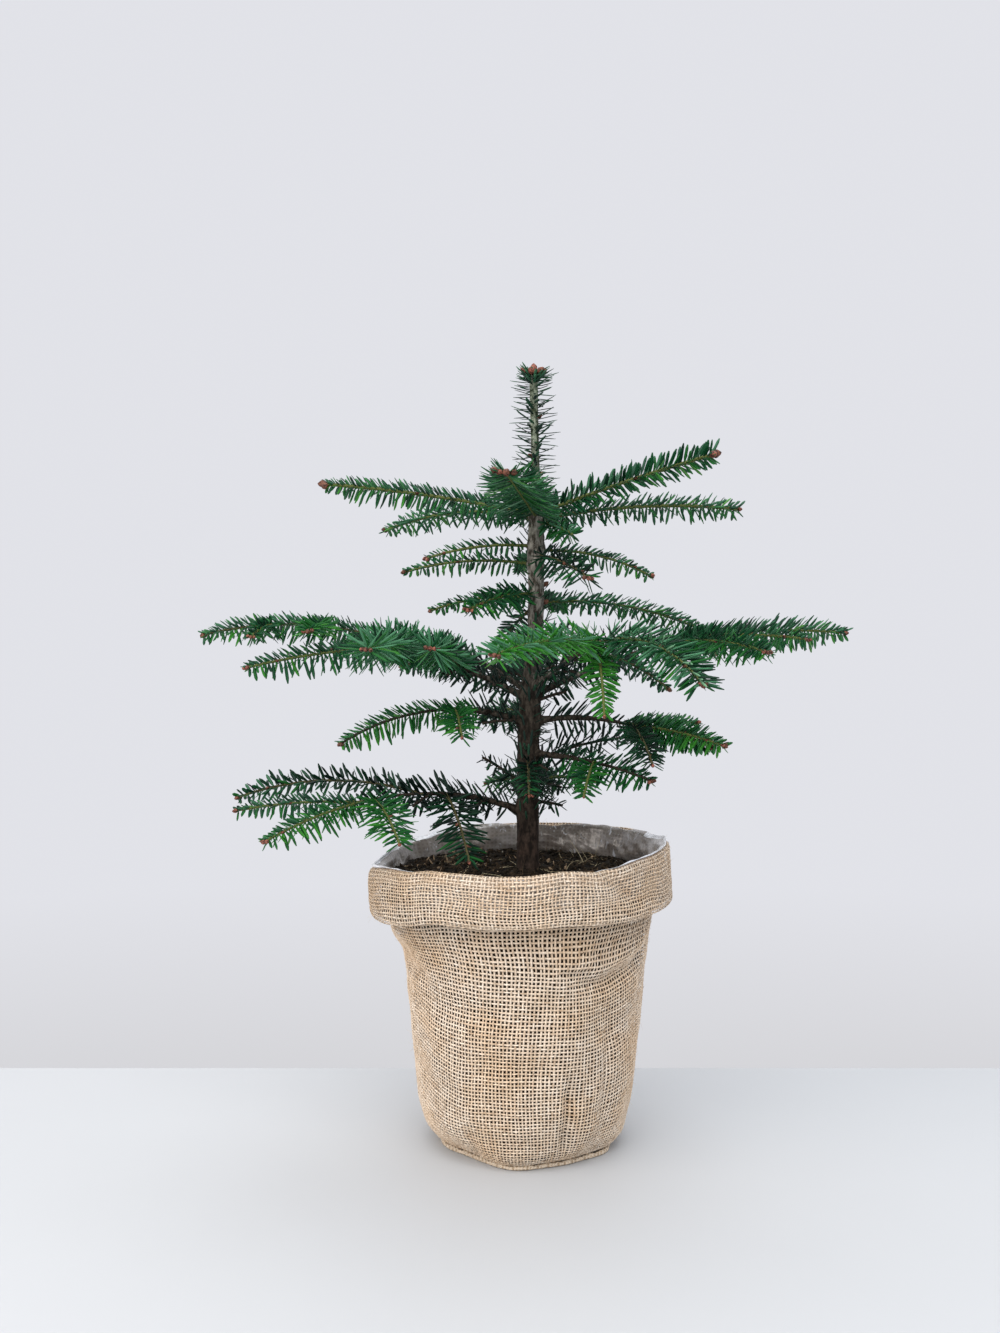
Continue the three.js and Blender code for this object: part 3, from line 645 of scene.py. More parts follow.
def hair_piece(name, points, finishes, finish_of_hair):
    """Hairs as one piece, each with one of the finishes."""
    tubes, stations, around = points.shape[:3]
    of_sides = np.repeat(finish_of_hair, (stations - 1) * around)
    of_face = np.concatenate([of_sides, np.tile(finish_of_hair, 2)])
    faces = body_faces(tubes, stations, around)
    piece = mesh_piece(name, points, faces, finishes, of_face)
    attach(piece, "root")
    return piece


def uneven_gloss(tree, shader, grain, low, high):
    rough = add_node(tree, "MapRange", {"Value": grain, "To Min": low, "To Max": high})
    tree.links.new(rough.outputs["Result"], shader.inputs["Roughness"])


def grained_finish(name, scale, gloss, detail=2.0, tones=None, relief=None, **values):
    """A finish with a fine grain in its gloss and, where they are given, in its tone and relief."""
    made, tree, shader = new_finish(name, **values)
    grain = noise_node(tree, object_place(tree), scale, detail)
    if tones:
        tree.links.new(ramp_node(tree, grain, tones), shader.inputs["Base Color"])
    uneven_gloss(tree, shader, grain, *gloss)
    if relief:
        add_bump(tree, shader, grain, *relief)
    return made


def fibre_finish(name, colour):
    return grained_finish(name, 900.0, (0.75, 1.0), Base_Color=(*colour, 1), Specular_IOR_Level=0.2)


dice = np.random.default_rng(5)
picked = [lot[0].reshape(-1, 3, 3)[:, 2] for lot in (body_warp, body_weft, cuff_warp, cuff_weft)]
yarn_tops = np.concatenate(picked)
spots = yarn_tops[dice.choice(len(yarn_tops), FIBRES + STALKS, replace=False)]
outward = unit(spots * [1, 1, 0])
sideways = np.cross(outward, [0, 0, 1.0])
spin = dice.uniform(0, 2 * np.pi, len(spots))[:, None]
along_cloth = sideways * np.cos(spin) + np.array([0, 0, 1.0]) * np.sin(spin)
stand = np.concatenate([dice.uniform(0.1, 0.75, FIBRES), np.full(STALKS, 0.04)])[:, None]
reach = np.concatenate([dice.uniform(1.5, 5.2, FIBRES), dice.uniform(1.4, 3.2, STALKS)])
limp = np.concatenate([np.full(FIBRES, 0.35), np.full(STALKS, 0.05)])[:, None]
bend = unit(dice.normal(size=spots.shape)) * limp
thickness = np.concatenate([dice.uniform(0.05, 0.09, FIBRES), dice.uniform(0.16, 0.3, STALKS)])
loose = hairs(spots, unit(along_cloth + outward * stand), reach, bend, thickness)
loose[..., 2] = np.maximum(loose[..., 2], 0.3)
loose_piece = hair_piece(
    "loose_fibres",
    loose,
    [fibre_finish("pale_fibre", (0.66, 0.52, 0.34)), fibre_finish("woody_stalk", (0.13, 0.075, 0.035))],
    np.concatenate([np.zeros(FIBRES, int), np.ones(STALKS, int)]),
)

# The liner is one sheet of thin clear film that keeps the peat damp. It is pushed down inside the
# bag, so above the soil it stands in sharp crumples, with its cut edge just over the cloth.
LINER = {"columns": 420, "low_rows": 26, "high_rows": 30, "crumpled_from": 160, "edge": 1.2}
MOUTH_RADIUS = 88
# Rows of dark film behind the hem, a dark sheet that stands in for the shade inside the cuff.
ROWS_BEHIND_HEM = [150.6, 151.6, 152.6, 153.6, 155.5, 158]


def triangle_wave(x):
    return 2 * np.abs(x - np.floor(x) - 0.5)


def crumple(angle, height):
    """Facets with sharp ridges, from 0 to 1, as on film that was folded and spread out again."""
    across, up = angle * MOUTH_RADIUS, height
    facets = 0
    for share, way, width, shift in [
        (0.34, 0.35, 26, 0.1),
        (0.24, -0.5, 17, 0.45),
        (0.18, 1.2, 11, 0.7),
        (0.14, -1.1, 7.5, 0.2),
        (0.10, 0.2, 4.6, 0.9),
    ]:
        bow = 3.2 * np.sin(across / 17 + shift * 9) + 2.0 * np.cos(up / 6 + across / 29)
        slanting = across * np.cos(way) + up * np.sin(way)
        facets = facets + share * triangle_wave((slanting + bow) / width + shift)
    return facets


def film_point(angle, height, inset):
    """A place on the film, this far in from its outer face."""
    behind = 0.45 + 2.2 * (1 - smooth((height - 148) / 12))
    out = rounded(BAG_WALL, height) - CLOTH - behind - inset
    free = smooth((height - LINER["crumpled_from"]) / 8)
    free_depth = 3.6 * crumple(angle, height) + 1.2 * np.sin(6 * angle + 1) ** 2
    laid_over = 2.6 + 2.4 * facing(angle, 325, 28) + 1.5 * facing(angle, 205, 20)
    # Behind the cuff the film swells out towards the cloth, and just above the hem it fills the gap under the
    # cuff. There it is dark film over peat: a dark sheet that stands in for the shade inside the cuff.
    over_rim = laid_over * smooth((height - RIM_HEIGHT + 1.7) / 2.3) + 4.5 * bump(height, 163, 8)
    out = out - free * free_depth * smooth((191 - height) / 15) + over_rim
    in_cuff = smooth((height - 151.2) / 2.2) * (1 - smooth((height - 158) / 9))
    return bag_point(angle, out + in_cuff * np.maximum(0, 91.6 - inset - out), height)


def film_edge(angle):
    """The cut edge stands over the rim at both sides, and stays below it in front and at the back."""
    wave = 0.8 * np.sin(7 * angle + 1) + 0.5 * np.sin(16 * angle) * np.sin(3 * angle)
    wave = wave + 0.2 * np.sin(37 * angle)
    stands = 1.5 * facing(angle, 185, 26) + 0.8 * facing(angle, 338, 30)
    hidden = 5 * facing(angle, 262, 44) + 2.2 * facing(angle, 68, 44)
    return RIM_HEIGHT + LINER["edge"] + wave + stands - hidden


film_angle = np.linspace(0, 2 * np.pi, LINER["columns"], endpoint=False)
deep_rows = np.linspace(2.6, 148, LINER["low_rows"] - len(ROWS_BEHIND_HEM))
low = np.concatenate([deep_rows, ROWS_BEHIND_HEM])
share_up = np.linspace(0, 1, LINER["high_rows"])
crumpled_from = LINER["crumpled_from"]
rows = [np.full_like(film_angle, z) for z in low]
rows += [crumpled_from + (film_edge(film_angle) - crumpled_from) * s for s in share_up]
outer = [film_point(film_angle, row, 0) for row in rows]
inner = [film_point(film_angle, row, FILM) for row in rows]
floor_rings = [outer[0] * [f, f, 1] for f in (0.01, 0.5)]
inner_floor = [inner[0] * [f, f, 1] + [0, 0, FILM] for f in (0.5, 0.01)]
inner = [inner[0] + [0, 0, FILM], *inner[1:]]
film_rings = np.stack([*floor_rings, *outer, *inner[::-1], *inner_floor])[None]
film_stations = film_rings.shape[1]
film_unwrap = strip_unwrap(1, film_stations, LINER["columns"])
FROM_PEAT = 3  # rows of film that lie against the peat


def rows_of_film(painted_glint_rows):
    """What each row of film shows: the peat behind it, the jute behind it, or a painted glint along its cut edge.
    """
    clear_rows = LINER["high_rows"] - FROM_PEAT - painted_glint_rows
    return np.repeat([0, 1, 2], [LINER["low_rows"] + FROM_PEAT, clear_rows, painted_glint_rows])


span_kind = np.concatenate([[0, 0], rows_of_film(8), rows_of_film(3)[::-1][1:], [0, 0]])
film_kind = np.tile(span_kind[:, None], LINER["columns"])
# At the back the edge rows have no painted glint, and take the tone of film over jute.
back_without_painted_glint = facing(film_angle, 68, 50) > 0.4
film_kind[(film_kind == 2) & back_without_painted_glint] = 1
film_kind = np.concatenate([film_kind.ravel(), [0, 0]])


WAVES_AT_SCALE_ONE = 3.18  # bands of a wave texture across one unit


def film_finish(name, behind_tones, painted_glint_from, painted_glint, coat, weave_tone):
    """Clear film: what lies behind it shows through, with pale streaks of painted glint laid over it."""
    made, tree, shader = new_finish(name, Coat_Weight=coat, Coat_Roughness=0.12, Specular_IOR_Level=coat)
    place = object_place(tree)
    uv = add_node(tree, "UVMap", uv_map="OFBake").outputs["UV"]
    round_bag = stretched(tree, uv, (1, BODY_STRANDS / WAVES_AT_SCALE_ONE, 1))
    warps = add_node(tree, "TexWave", {"Vector": round_bag, "Scale": 1.0}, bands_direction="Y").outputs["Fac"]
    wefts = add_node(tree, "TexWave", {"Vector": place, "Scale": 134.0}, bands_direction="Z").outputs["Fac"]
    weave = add_node(tree, "Math", {0: warps, 1: wefts}, operation="MAXIMUM").outputs["Value"]
    weave_tones = ramp_node(tree, weave, [(0.35, weave_tone), (0.75, (1, 1, 1))])
    behind = noise_node(tree, place, 38.0, 4.0, Distortion=0.8)
    through = mix_node(tree, 1, ramp_node(tree, behind, behind_tones), weave_tones, "MULTIPLY")
    # Painted glints: pale streaks on the film wherever a stretched noise runs high.
    streak = noise_node(tree, stretched(tree, place, (1, 1, 0.45)), 210.0, Distortion=2.0)
    share = ramp_node(tree, streak, [(painted_glint_from, (0, 0, 0)), (painted_glint_from + 0.12, (0.6, 0.6, 0.6))])
    pale = mix_node(tree, share, through, (*painted_glint, 1))
    tree.links.new(pale, shader.inputs["Base Color"])
    uneven_gloss(tree, shader, behind, 0.12, 0.42)
    add_bump(tree, shader, streak, 0.35, 0.5)
    return made


over_peat = [(0.35, (0.040, 0.026, 0.017)), (0.65, (0.085, 0.060, 0.042))]
over_jute = [(0.25, (0.125, 0.108, 0.096)), (0.5, (0.215, 0.189, 0.169)), (0.72, (0.35, 0.326, 0.31))]
# The film's cut edge is painted pale as a glint.
edge_painted_glint = [(0.35, (0.52, 0.53, 0.56)), (0.65, (0.82, 0.84, 0.9))]
film = mesh_piece(
    "crumpled_liner",
    film_rings,
    body_faces(1, film_stations, LINER["columns"]),
    [
        film_finish("film_over_peat", over_peat, 0.9, (0.2, 0.2, 0.2), 0.08, (0.9, 0.9, 0.9)),
        film_finish("film_over_jute", over_jute, 0.61, (0.74, 0.78, 0.86), 0.5, (0.78, 0.77, 0.76)),
        film_finish("film_edge_painted_glint", edge_painted_glint, 0.5, (0.78, 0.80, 0.86), 0.5, (0.9, 0.9, 0.9)),
    ],
    film_kind,
    unwrap=film_unwrap,
)
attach(film, "root")
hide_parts("film_liner")

# The soil is dark, damp peat with bits of bark and a few pale roots. It was pressed in by hand, so
# its surface is lumpy, a little higher round the trunk, and it meets the film all the way round.
SOIL_LEVEL = 171
SOIL_RINGS, SOIL_SPOKES = 70, 260


def soil_height(x, y):
    """The height of the peat: a low mound with soft lumps of three sizes."""
    at = np.stack([x, y, np.zeros_like(x)], -1)
    out = np.hypot(x, y)
    mound = 1.6 * np.exp(-((out / 22) ** 2)) + 0.8 * np.sin(x / 21 + 1) * np.cos(y / 17)
    relief = 1.5 * lumps(at, 11, 3) + 0.9 * lumps(at, 4.6, 4) + 0.5 * lumps(at, 2.1, 5)
    return SOIL_LEVEL + mound + relief - 1.5 * smooth((out - 62) / 22)


soil_angle = np.linspace(0, 2 * np.pi, SOIL_SPOKES, endpoint=False)
soil_edge = film_point(soil_angle, np.full_like(soil_angle, 168.0), FILM + 0.2)
soil_rings = []
for share in np.linspace(0.01, 1, SOIL_RINGS) ** 0.8:
    ring = soil_edge * share
    ring[:, 2] = soil_height(ring[:, 0], ring[:, 1])
    soil_rings.append(ring)
for deep in (163, 140, 115, 90, 65, 40, 20, 6):
    soil_rings.append(film_point(soil_angle, np.full_like(soil_angle, float(deep)), FILM + 0.3))
soil_rings = np.stack(soil_rings)[None]


def peat_finish(name, dark, light, scale):
    """Damp peat, dull, with dark and light grains of this scale."""
    tones = [(0.35, dark), (0.68, light)]
    return grained_finish(name, scale, (0.7, 1.0), 5.0, tones, (0.7, 0.6), Specular_IOR_Level=0.12)


ground = mesh_piece(
    "peat_surface",
    soil_rings,
    [side[:, ::-1] for side in body_faces(1, soil_rings.shape[1], SOIL_SPOKES)],
    [peat_finish("damp_peat", (0.0035, 0.0028, 0.002), (0.026, 0.019, 0.013), 260.0)],
)
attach(ground, "root")
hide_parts("soil")

golden = (1 + 5**0.5) / 2
STONE = unit(np.array([(0, a, b * golden) for a in (-1, 1) for b in (-1, 1)], float))
STONE = np.concatenate([np.roll(STONE, turn, axis=1) for turn in range(3)])


def stone_faces():
    """The twenty faces of an icosahedron on those corners, each facing out."""
    near = np.linalg.norm(STONE[:, None] - STONE[None], axis=-1) < 1.2
    faces = []
    for a, b, c in itertools.combinations(range(12), 3):
        if near[a, b] and near[b, c] and near[a, c]:
            outward = np.dot(np.cross(STONE[b] - STONE[a], STONE[c] - STONE[a]), STONE[a]) > 0
            faces.append((a, b, c) if outward else (a, c, b))
    return np.array(faces)


def turned_at_random(shapes, dice):
    """Turns each small shape by a random rotation of its own."""
    q = unit(dice.normal(size=(len(shapes), 4)))
    w, x, y, z = q.T
    turn = np.array(
        [
            [1 - 2 * (y * y + z * z), 2 * (x * y - z * w), 2 * (x * z + y * w)],
            [2 * (x * y + z * w), 1 - 2 * (x * x + z * z), 2 * (y * z - x * w)],
            [2 * (x * z - y * w), 2 * (y * z + x * w), 1 - 2 * (x * x + y * y)],
        ]
    )
    return np.einsum("ijn,nvj->nvi", turn, shapes)


CRUMBS = 2600
CRUMB_KINDS = [
    # share of all crumbs, stretch along its three ways, and size: peat, brown peat, bark and grit
    (0.65, (1, 0.9, 0.8), 1),
    (0.27, (1.7, 0.9, 0.5), 1.05),
    (0.06, (2.6, 0.8, 0.35), 1),
    (0.02, (1, 0.8, 0.7), 0.7),
]
shares, stretches, spans = zip(*CRUMB_KINDS)
dice = np.random.default_rng(8)
kind = dice.choice(len(CRUMB_KINDS), CRUMBS, p=shares)
span = dice.uniform(0.5, 1.6, CRUMBS) * np.array(spans)[kind]
stretch = np.array(stretches)[kind] * span[:, None]
crumbs = STONE[None] * (1 + dice.uniform(-0.28, 0.28, (CRUMBS, 12, 1))) * stretch[:, None]
crumbs = turned_at_random(crumbs, dice)
crumb_angle = dice.uniform(0, 2 * np.pi, CRUMBS)
crumb_out = (np.sqrt(dice.uniform(0, 1, CRUMBS)) * 0.965)[:, None]
edge_x = np.interp(crumb_angle, soil_angle, soil_edge[:, 0], period=2 * np.pi)
edge_y = np.interp(crumb_angle, soil_angle, soil_edge[:, 1], period=2 * np.pi)
seats = np.stack([edge_x, edge_y], -1) * crumb_out
seat_height = soil_height(seats[:, 0], seats[:, 1]) + 0.35 * span
crumbs = crumbs + np.concatenate([seats, seat_height[:, None]], -1)[:, None]
crumb_faces = (stone_faces()[None] + 12 * np.arange(CRUMBS)[:, None, None]).reshape(-1, 3)
crumb_piece = mesh_piece(
    "peat_crumbs",
    crumbs,
    [crumb_faces],
    [
        peat_finish("peat_crumb", (0.0035, 0.003, 0.002), (0.028, 0.021, 0.014), 500.0),
        peat_finish("brown_crumb", (0.014, 0.010, 0.006), (0.062, 0.042, 0.026), 500.0),
        peat_finish("bark_chip", (0.13, 0.08, 0.046), (0.52, 0.38, 0.25), 400.0),
        peat_finish("grit", (0.3, 0.27, 0.23), (0.55, 0.5, 0.44), 700.0),
    ],
    np.repeat(kind, 20),
    smooth_shaded=False,
)
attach(crumb_piece, "root")

ROOTLETS = 400
turn = dice.uniform(0, 2 * np.pi, ROOTLETS)
far = np.sqrt(dice.uniform(0.02, 0.9, ROOTLETS)) * 80
starts = np.stack([far * np.cos(turn), far * np.sin(turn), 0 * far], -1)
starts[:, 2] = soil_height(starts[:, 0], starts[:, 1]) + 0.5
ways = unit(dice.normal(size=(ROOTLETS, 3)) * [1, 1, 0.18] + [0, 0, 0.12])
curls = unit(dice.normal(size=(ROOTLETS, 3)) * [1, 1, 0.2]) * dice.uniform(0.2, 0.8, (ROOTLETS, 1))
rootlets = hairs(starts, ways, dice.uniform(4, 15, ROOTLETS), curls, dice.uniform(0.14, 0.30, ROOTLETS), 9)
inside = np.minimum(1, 78 / np.maximum(np.hypot(rootlets[..., 0], rootlets[..., 1]), 1))
rootlets[..., :2] *= inside[..., None]
floor_under = soil_height(rootlets[..., 0], rootlets[..., 1])
rootlets[..., 2] = np.maximum(rootlets[..., 2], floor_under + 0.2)
rootlet_piece = hair_piece(
    "rootlets",
    rootlets,
    [fibre_finish("straw_root", (0.50, 0.43, 0.28)), fibre_finish("brown_root", (0.085, 0.058, 0.032))],
    dice.choice(2, ROOTLETS, p=[0.3, 0.7]),
)

# The trunk is one woody stem from the soil to the tip of the leader. Its bark is dark brown and
# finely split at the foot, grey and scaly between the whorls, and smooth and olive on the leader.
TREE_TOP = 484
TRUNK_GIRTH = [
    # height and radius
    (SOIL_LEVEL - 3, 9.1),
    (SOIL_LEVEL, 8.2),
    (178, 7.4),
    (205, 6.9),
    (275, 6.6),
    (300, 5.6),
    (340, 4.7),
    (394, 4.3),
    (403, 3.2),
    (413, 2.85),
    (TREE_TOP, 2.6),
]
TRUNK_COLUMNS, TRUNK_ROWS = 56, 560
UPRIGHT = np.array([0, 0, 1.0])


def level_way(turn):
    """The level direction at this turn, in radians."""
    return np.stack([np.cos(turn), np.sin(turn), 0 * turn], -1)


def trunk_point(height):
    """The middle of the trunk, which leans a little to the right above the lowest boughs."""
    height = np.asarray(height, float)
    sway = 5 * smooth((height - 240) / 110) - 1.8 * smooth((height - 390) / 100)
    return np.stack([3.2 + sway, np.zeros_like(height), height], -1)


USUAL_NEEDLES = dict(needle=1, above=0.66, tip=0.5, dense=1, flat=0, misty=0)


def shoot(start, azimuth, rise, length, bend, tone, shoots=(), bare=0, **needles):
    """A shoot that leaves its parent at a share of the parent's length, and sinks by its bend.

    Its needles are `needle` times the usual length, those above it `above` times that, and those
    at its end `tip` times that. They stand `dense` times as close as usual, are combed to both
    sides by `flat`, and a `misty` share of them is paler and bluer: the bloom of fresh
    wax, with painted sheen.
    """
    line = dict(start=start, azimuth=azimuth, rise=rise, length=length, bend=bend, tone=tone)
    return {**line, "shoots": shoots, "bare": bare, **USUAL_NEEDLES, **needles}


def stem(height, azimuth, rise, length, bend, tone, bare=0, shoots=(), **needles):
    """A limb that leaves the trunk. Its first `bare` millimetres are a woody bough."""
    limb = shoot(0, azimuth, rise, length, bend, tone, shoots, bare=bare, **needles)
    limb["height"] = height
    return limb


# Needle tones, from the old foliage inside the tree, dark with age and with painted shade, to this
# year's shoots, and a pale one with wax bloom and painted sheen
OLD_AND_SHADED, DARK, MIDDLE, FRESH, BRIGHT, BLOOM_AND_SHEEN = range(6)
LIMBS = {
    "crown_left": stem(397, 185, 12, 127, -8, MIDDLE, needle=0.86, dense=1.15),
    "crown_left_back": stem(394, 144, 12, 118, -30, MIDDLE, needle=0.8),
    "crown_front": stem(
        396, 260, 11, 106, 0, MIDDLE, needle=1.42, above=0.9, tip=0.48, dense=1.75, flat=0.48, misty=0.1
    ),
    "crown_right": stem(398, 348, 21, 110, -6, MIDDLE, needle=0.76, above=1, tip=0.85, dense=1.2),
    "crown_right_back": stem(394, 17, 11, 133, -16, MIDDLE, needle=0.76, above=0.8, tip=0.75),
    "crown_front_stub": stem(391, 310, -4, 29, -22, MIDDLE, needle=0.72, tip=0.9, dense=1.8, misty=0.6),
    "crown_back": stem(396, 88, 14, 104, -10, MIDDLE),
    "second_left_upper": stem(377, 195, 4, 65, -22, MIDDLE, needle=0.56, above=0.8, dense=0.7),
    "second_left_lower": stem(366, 174, 8, 78, -24, MIDDLE, needle=0.7, above=0.6, dense=0.72),
    "second_right_front": stem(371, 295, -4, 64, -16, DARK, above=0.8, tip=0.75, dense=0.7),
    "second_right": stem(374, 14, 2, 72, -30, MIDDLE, needle=0.7, above=0.6, dense=0.9),
    "second_back": stem(368, 98, 6, 62, -24, MIDDLE, needle=0.7),
    "third_left": stem(345, 168, 4, 63, -24, MIDDLE, needle=0.62),
    "third_left_front": stem(347, 235, 3, 67, -20, MIDDLE, needle=0.9, above=0.8, dense=1.15),
    "third_right": stem(342, 22, 3, 117, -26, MIDDLE, needle=0.66, above=0.8, dense=1.15),
    "third_hanging": stem(337, 134, -33, 43, -20, DARK, needle=0.85),
    "third_back": stem(343, 76, 5, 70, -22, MIDDLE, needle=0.7),
    "main_left": stem(
        284, 197, 27, 75, -6, OLD_AND_SHADED, 36,
        [
            shoot(
                1, 171, 20, 136, -34, MIDDLE,
                [
                    shoot(0.42, 264, 9, 49, -20, FRESH, tip=0.7, flat=0.4),
                    shoot(0.66, 258, 2, 41, -20, MIDDLE, needle=0.8),
                ],
                needle=0.9,
                dense=1.25,
            ),
            shoot(1, 205, 2, 106, -14, MIDDLE, above=0.6),
            shoot(0.9, 253, 13, 97, -18, MIDDLE, needle=1.15, above=0.9, tip=0.95, dense=1.3, misty=0.6),
            shoot(0.56, 257, 19, 75, -14, MIDDLE, needle=1, above=0.9, tip=0.95, dense=1.3, misty=0.45),
            shoot(0.7, 138, 14, 66, -22, MIDDLE),
        ],
    ),
    "main_right": stem(
        291, 302, 29, 73, -12, OLD_AND_SHADED, 44,
        [
            shoot(
                1, 308, 16, 90, -58, MIDDLE, needle=1.2, above=0.9, tip=0.7, dense=1.6, flat=0.35, misty=0.4
            ),
            shoot(
                1, 235, 9, 108, -20, BRIGHT, needle=1.1, above=0.9, tip=0.7, dense=1.3, flat=0.3, misty=0.6
            ),
            shoot(0.95, 272, -20, 60, -40, BRIGHT, needle=0.85, dense=0.85, flat=0.4),
            shoot(0.8, 18, -10, 59, -30, DARK, needle=0.7),
        ],
    ),
    "main_far": stem(
        286, 7, 25, 96, -10, DARK, 58,
        [
            shoot(1, 358, 9, 102, -14, MIDDLE, above=0.72, dense=1.15),
            shoot(1, 327, 8, 84, -14, MIDDLE, dense=1.15),
            shoot(0.85, 302, 10, 100, -20, MIDDLE, above=0.9, dense=1.25),
            shoot(0.8, 52, 4, 72, -20, MIDDLE),
        ],
    ),
    "main_back_left": stem(
        288, 140, 25, 66, -8, DARK, 34,
        [
            shoot(1, 152, 10, 92, -26, MIDDLE),
            shoot(0.9, 118, 6, 80, -24, FRESH),
            shoot(0.6, 176, 6, 50, -20, DARK),
        ],
    ),
    "main_back": stem(
        282, 84, 26, 70, -10, DARK, 36,
        [
            shoot(1, 92, 8, 88, -24, MIDDLE),
            shoot(0.95, 56, 8, 78, -22, FRESH),
            shoot(0.7, 116, 2, 56, -26, MIDDLE),
        ],
    ),
    "lower_left": stem(
        268, 194, 20, 116, -52, FRESH, 26,
        [shoot(0.36, 276, 5, 63, -30, FRESH, dense=0.85, flat=0.35)],
        above=0.6,
    ),
    "lower_right": stem(
        268, 355, 9, 57, -24, OLD_AND_SHADED, 28,
        [
            shoot(1, 327, 0, 64, -16, FRESH, above=0.7, dense=1.25),
            shoot(0.9, 343, -5, 58, -16, MIDDLE, above=0.8, dense=1.25),
            shoot(0.97, 35, 3, 56, -10, FRESH, needle=0.8),
            shoot(1, 276, -2, 69, -24, DARK, dense=0.9, flat=0.3),
        ],
    ),
    "lower_right_inner": stem(243, 27, 17, 66, -16, OLD_AND_SHADED, above=0.9),
    "lower_right_low": stem(
        247, 324, 1, 83, -16, MIDDLE, 20,
        [shoot(0.5, 257, -10, 39, -30, FRESH, dense=0.9, flat=0.35)],
    ),
    "lower_back": stem(
        262, 96, 16, 52, -16, DARK, 24,
        [shoot(1, 78, 2, 56, -24, MIDDLE), shoot(0.95, 122, 0, 46, -24, MIDDLE)],
    ),
    "lowest_left": stem(
        212, 191, 21, 100, -34, OLD_AND_SHADED, 38,
        [
            shoot(0.62, 167, 15, 123, -36, DARK, needle=0.68, above=1, dense=0.75),
            shoot(1, 179, 3, 77, -14, MIDDLE, needle=0.76),
            shoot(1, 219, -7, 70, -14, FRESH, above=0.6),
            shoot(0.92, 286, 2, 79, -26, FRESH, needle=1.1, above=0.9, flat=0.4, dense=0.75),
            shoot(0.46, 286, -13, 66, -34, DARK, needle=1.2, above=0.9, flat=0.35, dense=0.7),
        ],
        above=1,
        dense=0.8,
    ),
    "lowest_front_spray": stem(243, 270, -13, 33, -40, DARK),
    "lowest_back": stem(
        216, 82, 16, 96, -30, DARK, 26,
        [shoot(0.4, 128, 4, 52, -22, MIDDLE), shoot(0.5, 40, 4, 50, -22, MIDDLE)],
    ),
}


def heading_of(limb):
    return level_way(np.radians(limb["azimuth"]))


def point_on(limb, share):
    """A limb's line is an arc in the upright plane of its azimuth."""
    share = np.asarray(share, float)[..., None]
    begin, turn = np.radians(limb["rise"]), np.radians(limb["bend"] or 0.01)
    out = limb["length"] / turn * (np.sin(begin + turn * share) - np.sin(begin))
    climb = limb["length"] / turn * (np.cos(begin) - np.cos(begin + turn * share))
    return limb["foot"] + heading_of(limb) * out + UPRIGHT * climb


def axes_on(limb, share):
    """The limb's own directions at a share of its length: ahead, up and across."""
    rise = np.radians(limb["rise"] + limb["bend"] * np.asarray(share, float))[..., None]
    ahead = heading_of(limb) * np.cos(rise) + UPRIGHT * np.sin(rise)
    up = UPRIGHT * np.cos(rise) - heading_of(limb) * np.sin(rise)
    return ahead, up, np.cross(up, ahead)


def laid_out(name, main):
    """Sets where a whorl's limb and its shoots start, and lists them all."""
    girth = rounded(TRUNK_GIRTH, main["height"])
    main["foot"] = trunk_point(main["height"]) + heading_of(main) * (girth + 0.8)
    main["level"] = 0
    everyone = [main]
    for parent in everyone:
        parent["whorl"] = name
        parent["seed"] = len(everyone) + 7 * list(LIMBS).index(name)
        for child in parent["shoots"]:
            child["foot"] = point_on(parent, child["start"])
            child["level"] = parent["level"] + 1
            everyone.append(child)
    return everyone


whorls = {name: laid_out(name, main) for name, main in LIMBS.items()}
limbs = [limb for everyone in whorls.values() for limb in everyone]

trunk_rows = np.linspace(SOIL_LEVEL - 1.5, TREE_TOP, TRUNK_ROWS)
bark_angle = np.linspace(0, 2 * np.pi, TRUNK_COLUMNS, endpoint=False)
turn, level = np.meshgrid(bark_angle, trunk_rows)
radius = rounded(TRUNK_GIRTH, level)
round_way = level_way(turn)
finer = np.stack([np.cos(turn) * radius, np.sin(turn) * radius, level], -1)
splits = -0.55 * np.maximum(0, 0.55 - np.abs(lumps(finer / [1, 1, 3.2], 2.1, 21)) * 2.6)
grain = lumps(finer, 1.7, 22)
scales = 0.32 * np.sign(grain) * np.abs(grain) ** 0.5
swells = 0.5 * lumps(finer, 9, 23)
old_wood = 1 - smooth((level - 300) / 40)
young_wood = smooth((level - 396) / 8)
relief = old_wood * (splits + 0.4 * scales) + (1 - old_wood) * (1 - young_wood) * scales
relief = relief + 0.16 * young_wood * scales + swells * (1 - young_wood) * 0.6
for main in LIMBS.values():
    collar = 3.4 if main["bare"] else 2.2
    beside = turns_from(turn, main["azimuth"]) / 57.3 * radius / collar
    above = (level - main["height"]) / (1.2 * collar)
    relief = relief + 0.42 * collar * np.exp(-(beside**2) - above**2)
YEAR_RINGS = (398, 372, 343, 287, 265, 214)
for ring_height in YEAR_RINGS:
    relief = relief + 0.35 * bump(level, ring_height, 3.5) * (1 + 0.5 * lumps(finer, 2.4, 24))
bark_rings = trunk_point(level) + round_way * (radius + relief)[..., None]

BARK_BY_AGE = [
    # share of the trunk's height, with the bark's darkest tone and its palest
    (0.0, (0.013, 0.009, 0.007), (0.058, 0.038, 0.029)),
    (0.36, (0.013, 0.010, 0.007), (0.072, 0.060, 0.046)),
    (0.5, (0.036, 0.031, 0.024), (0.27, 0.25, 0.22)),
    (0.7, (0.046, 0.040, 0.030), (0.36, 0.34, 0.30)),
    (0.76, (0.042, 0.055, 0.030), (0.36, 0.40, 0.31)),
    (1.0, (0.045, 0.062, 0.034), (0.36, 0.41, 0.31)),
]


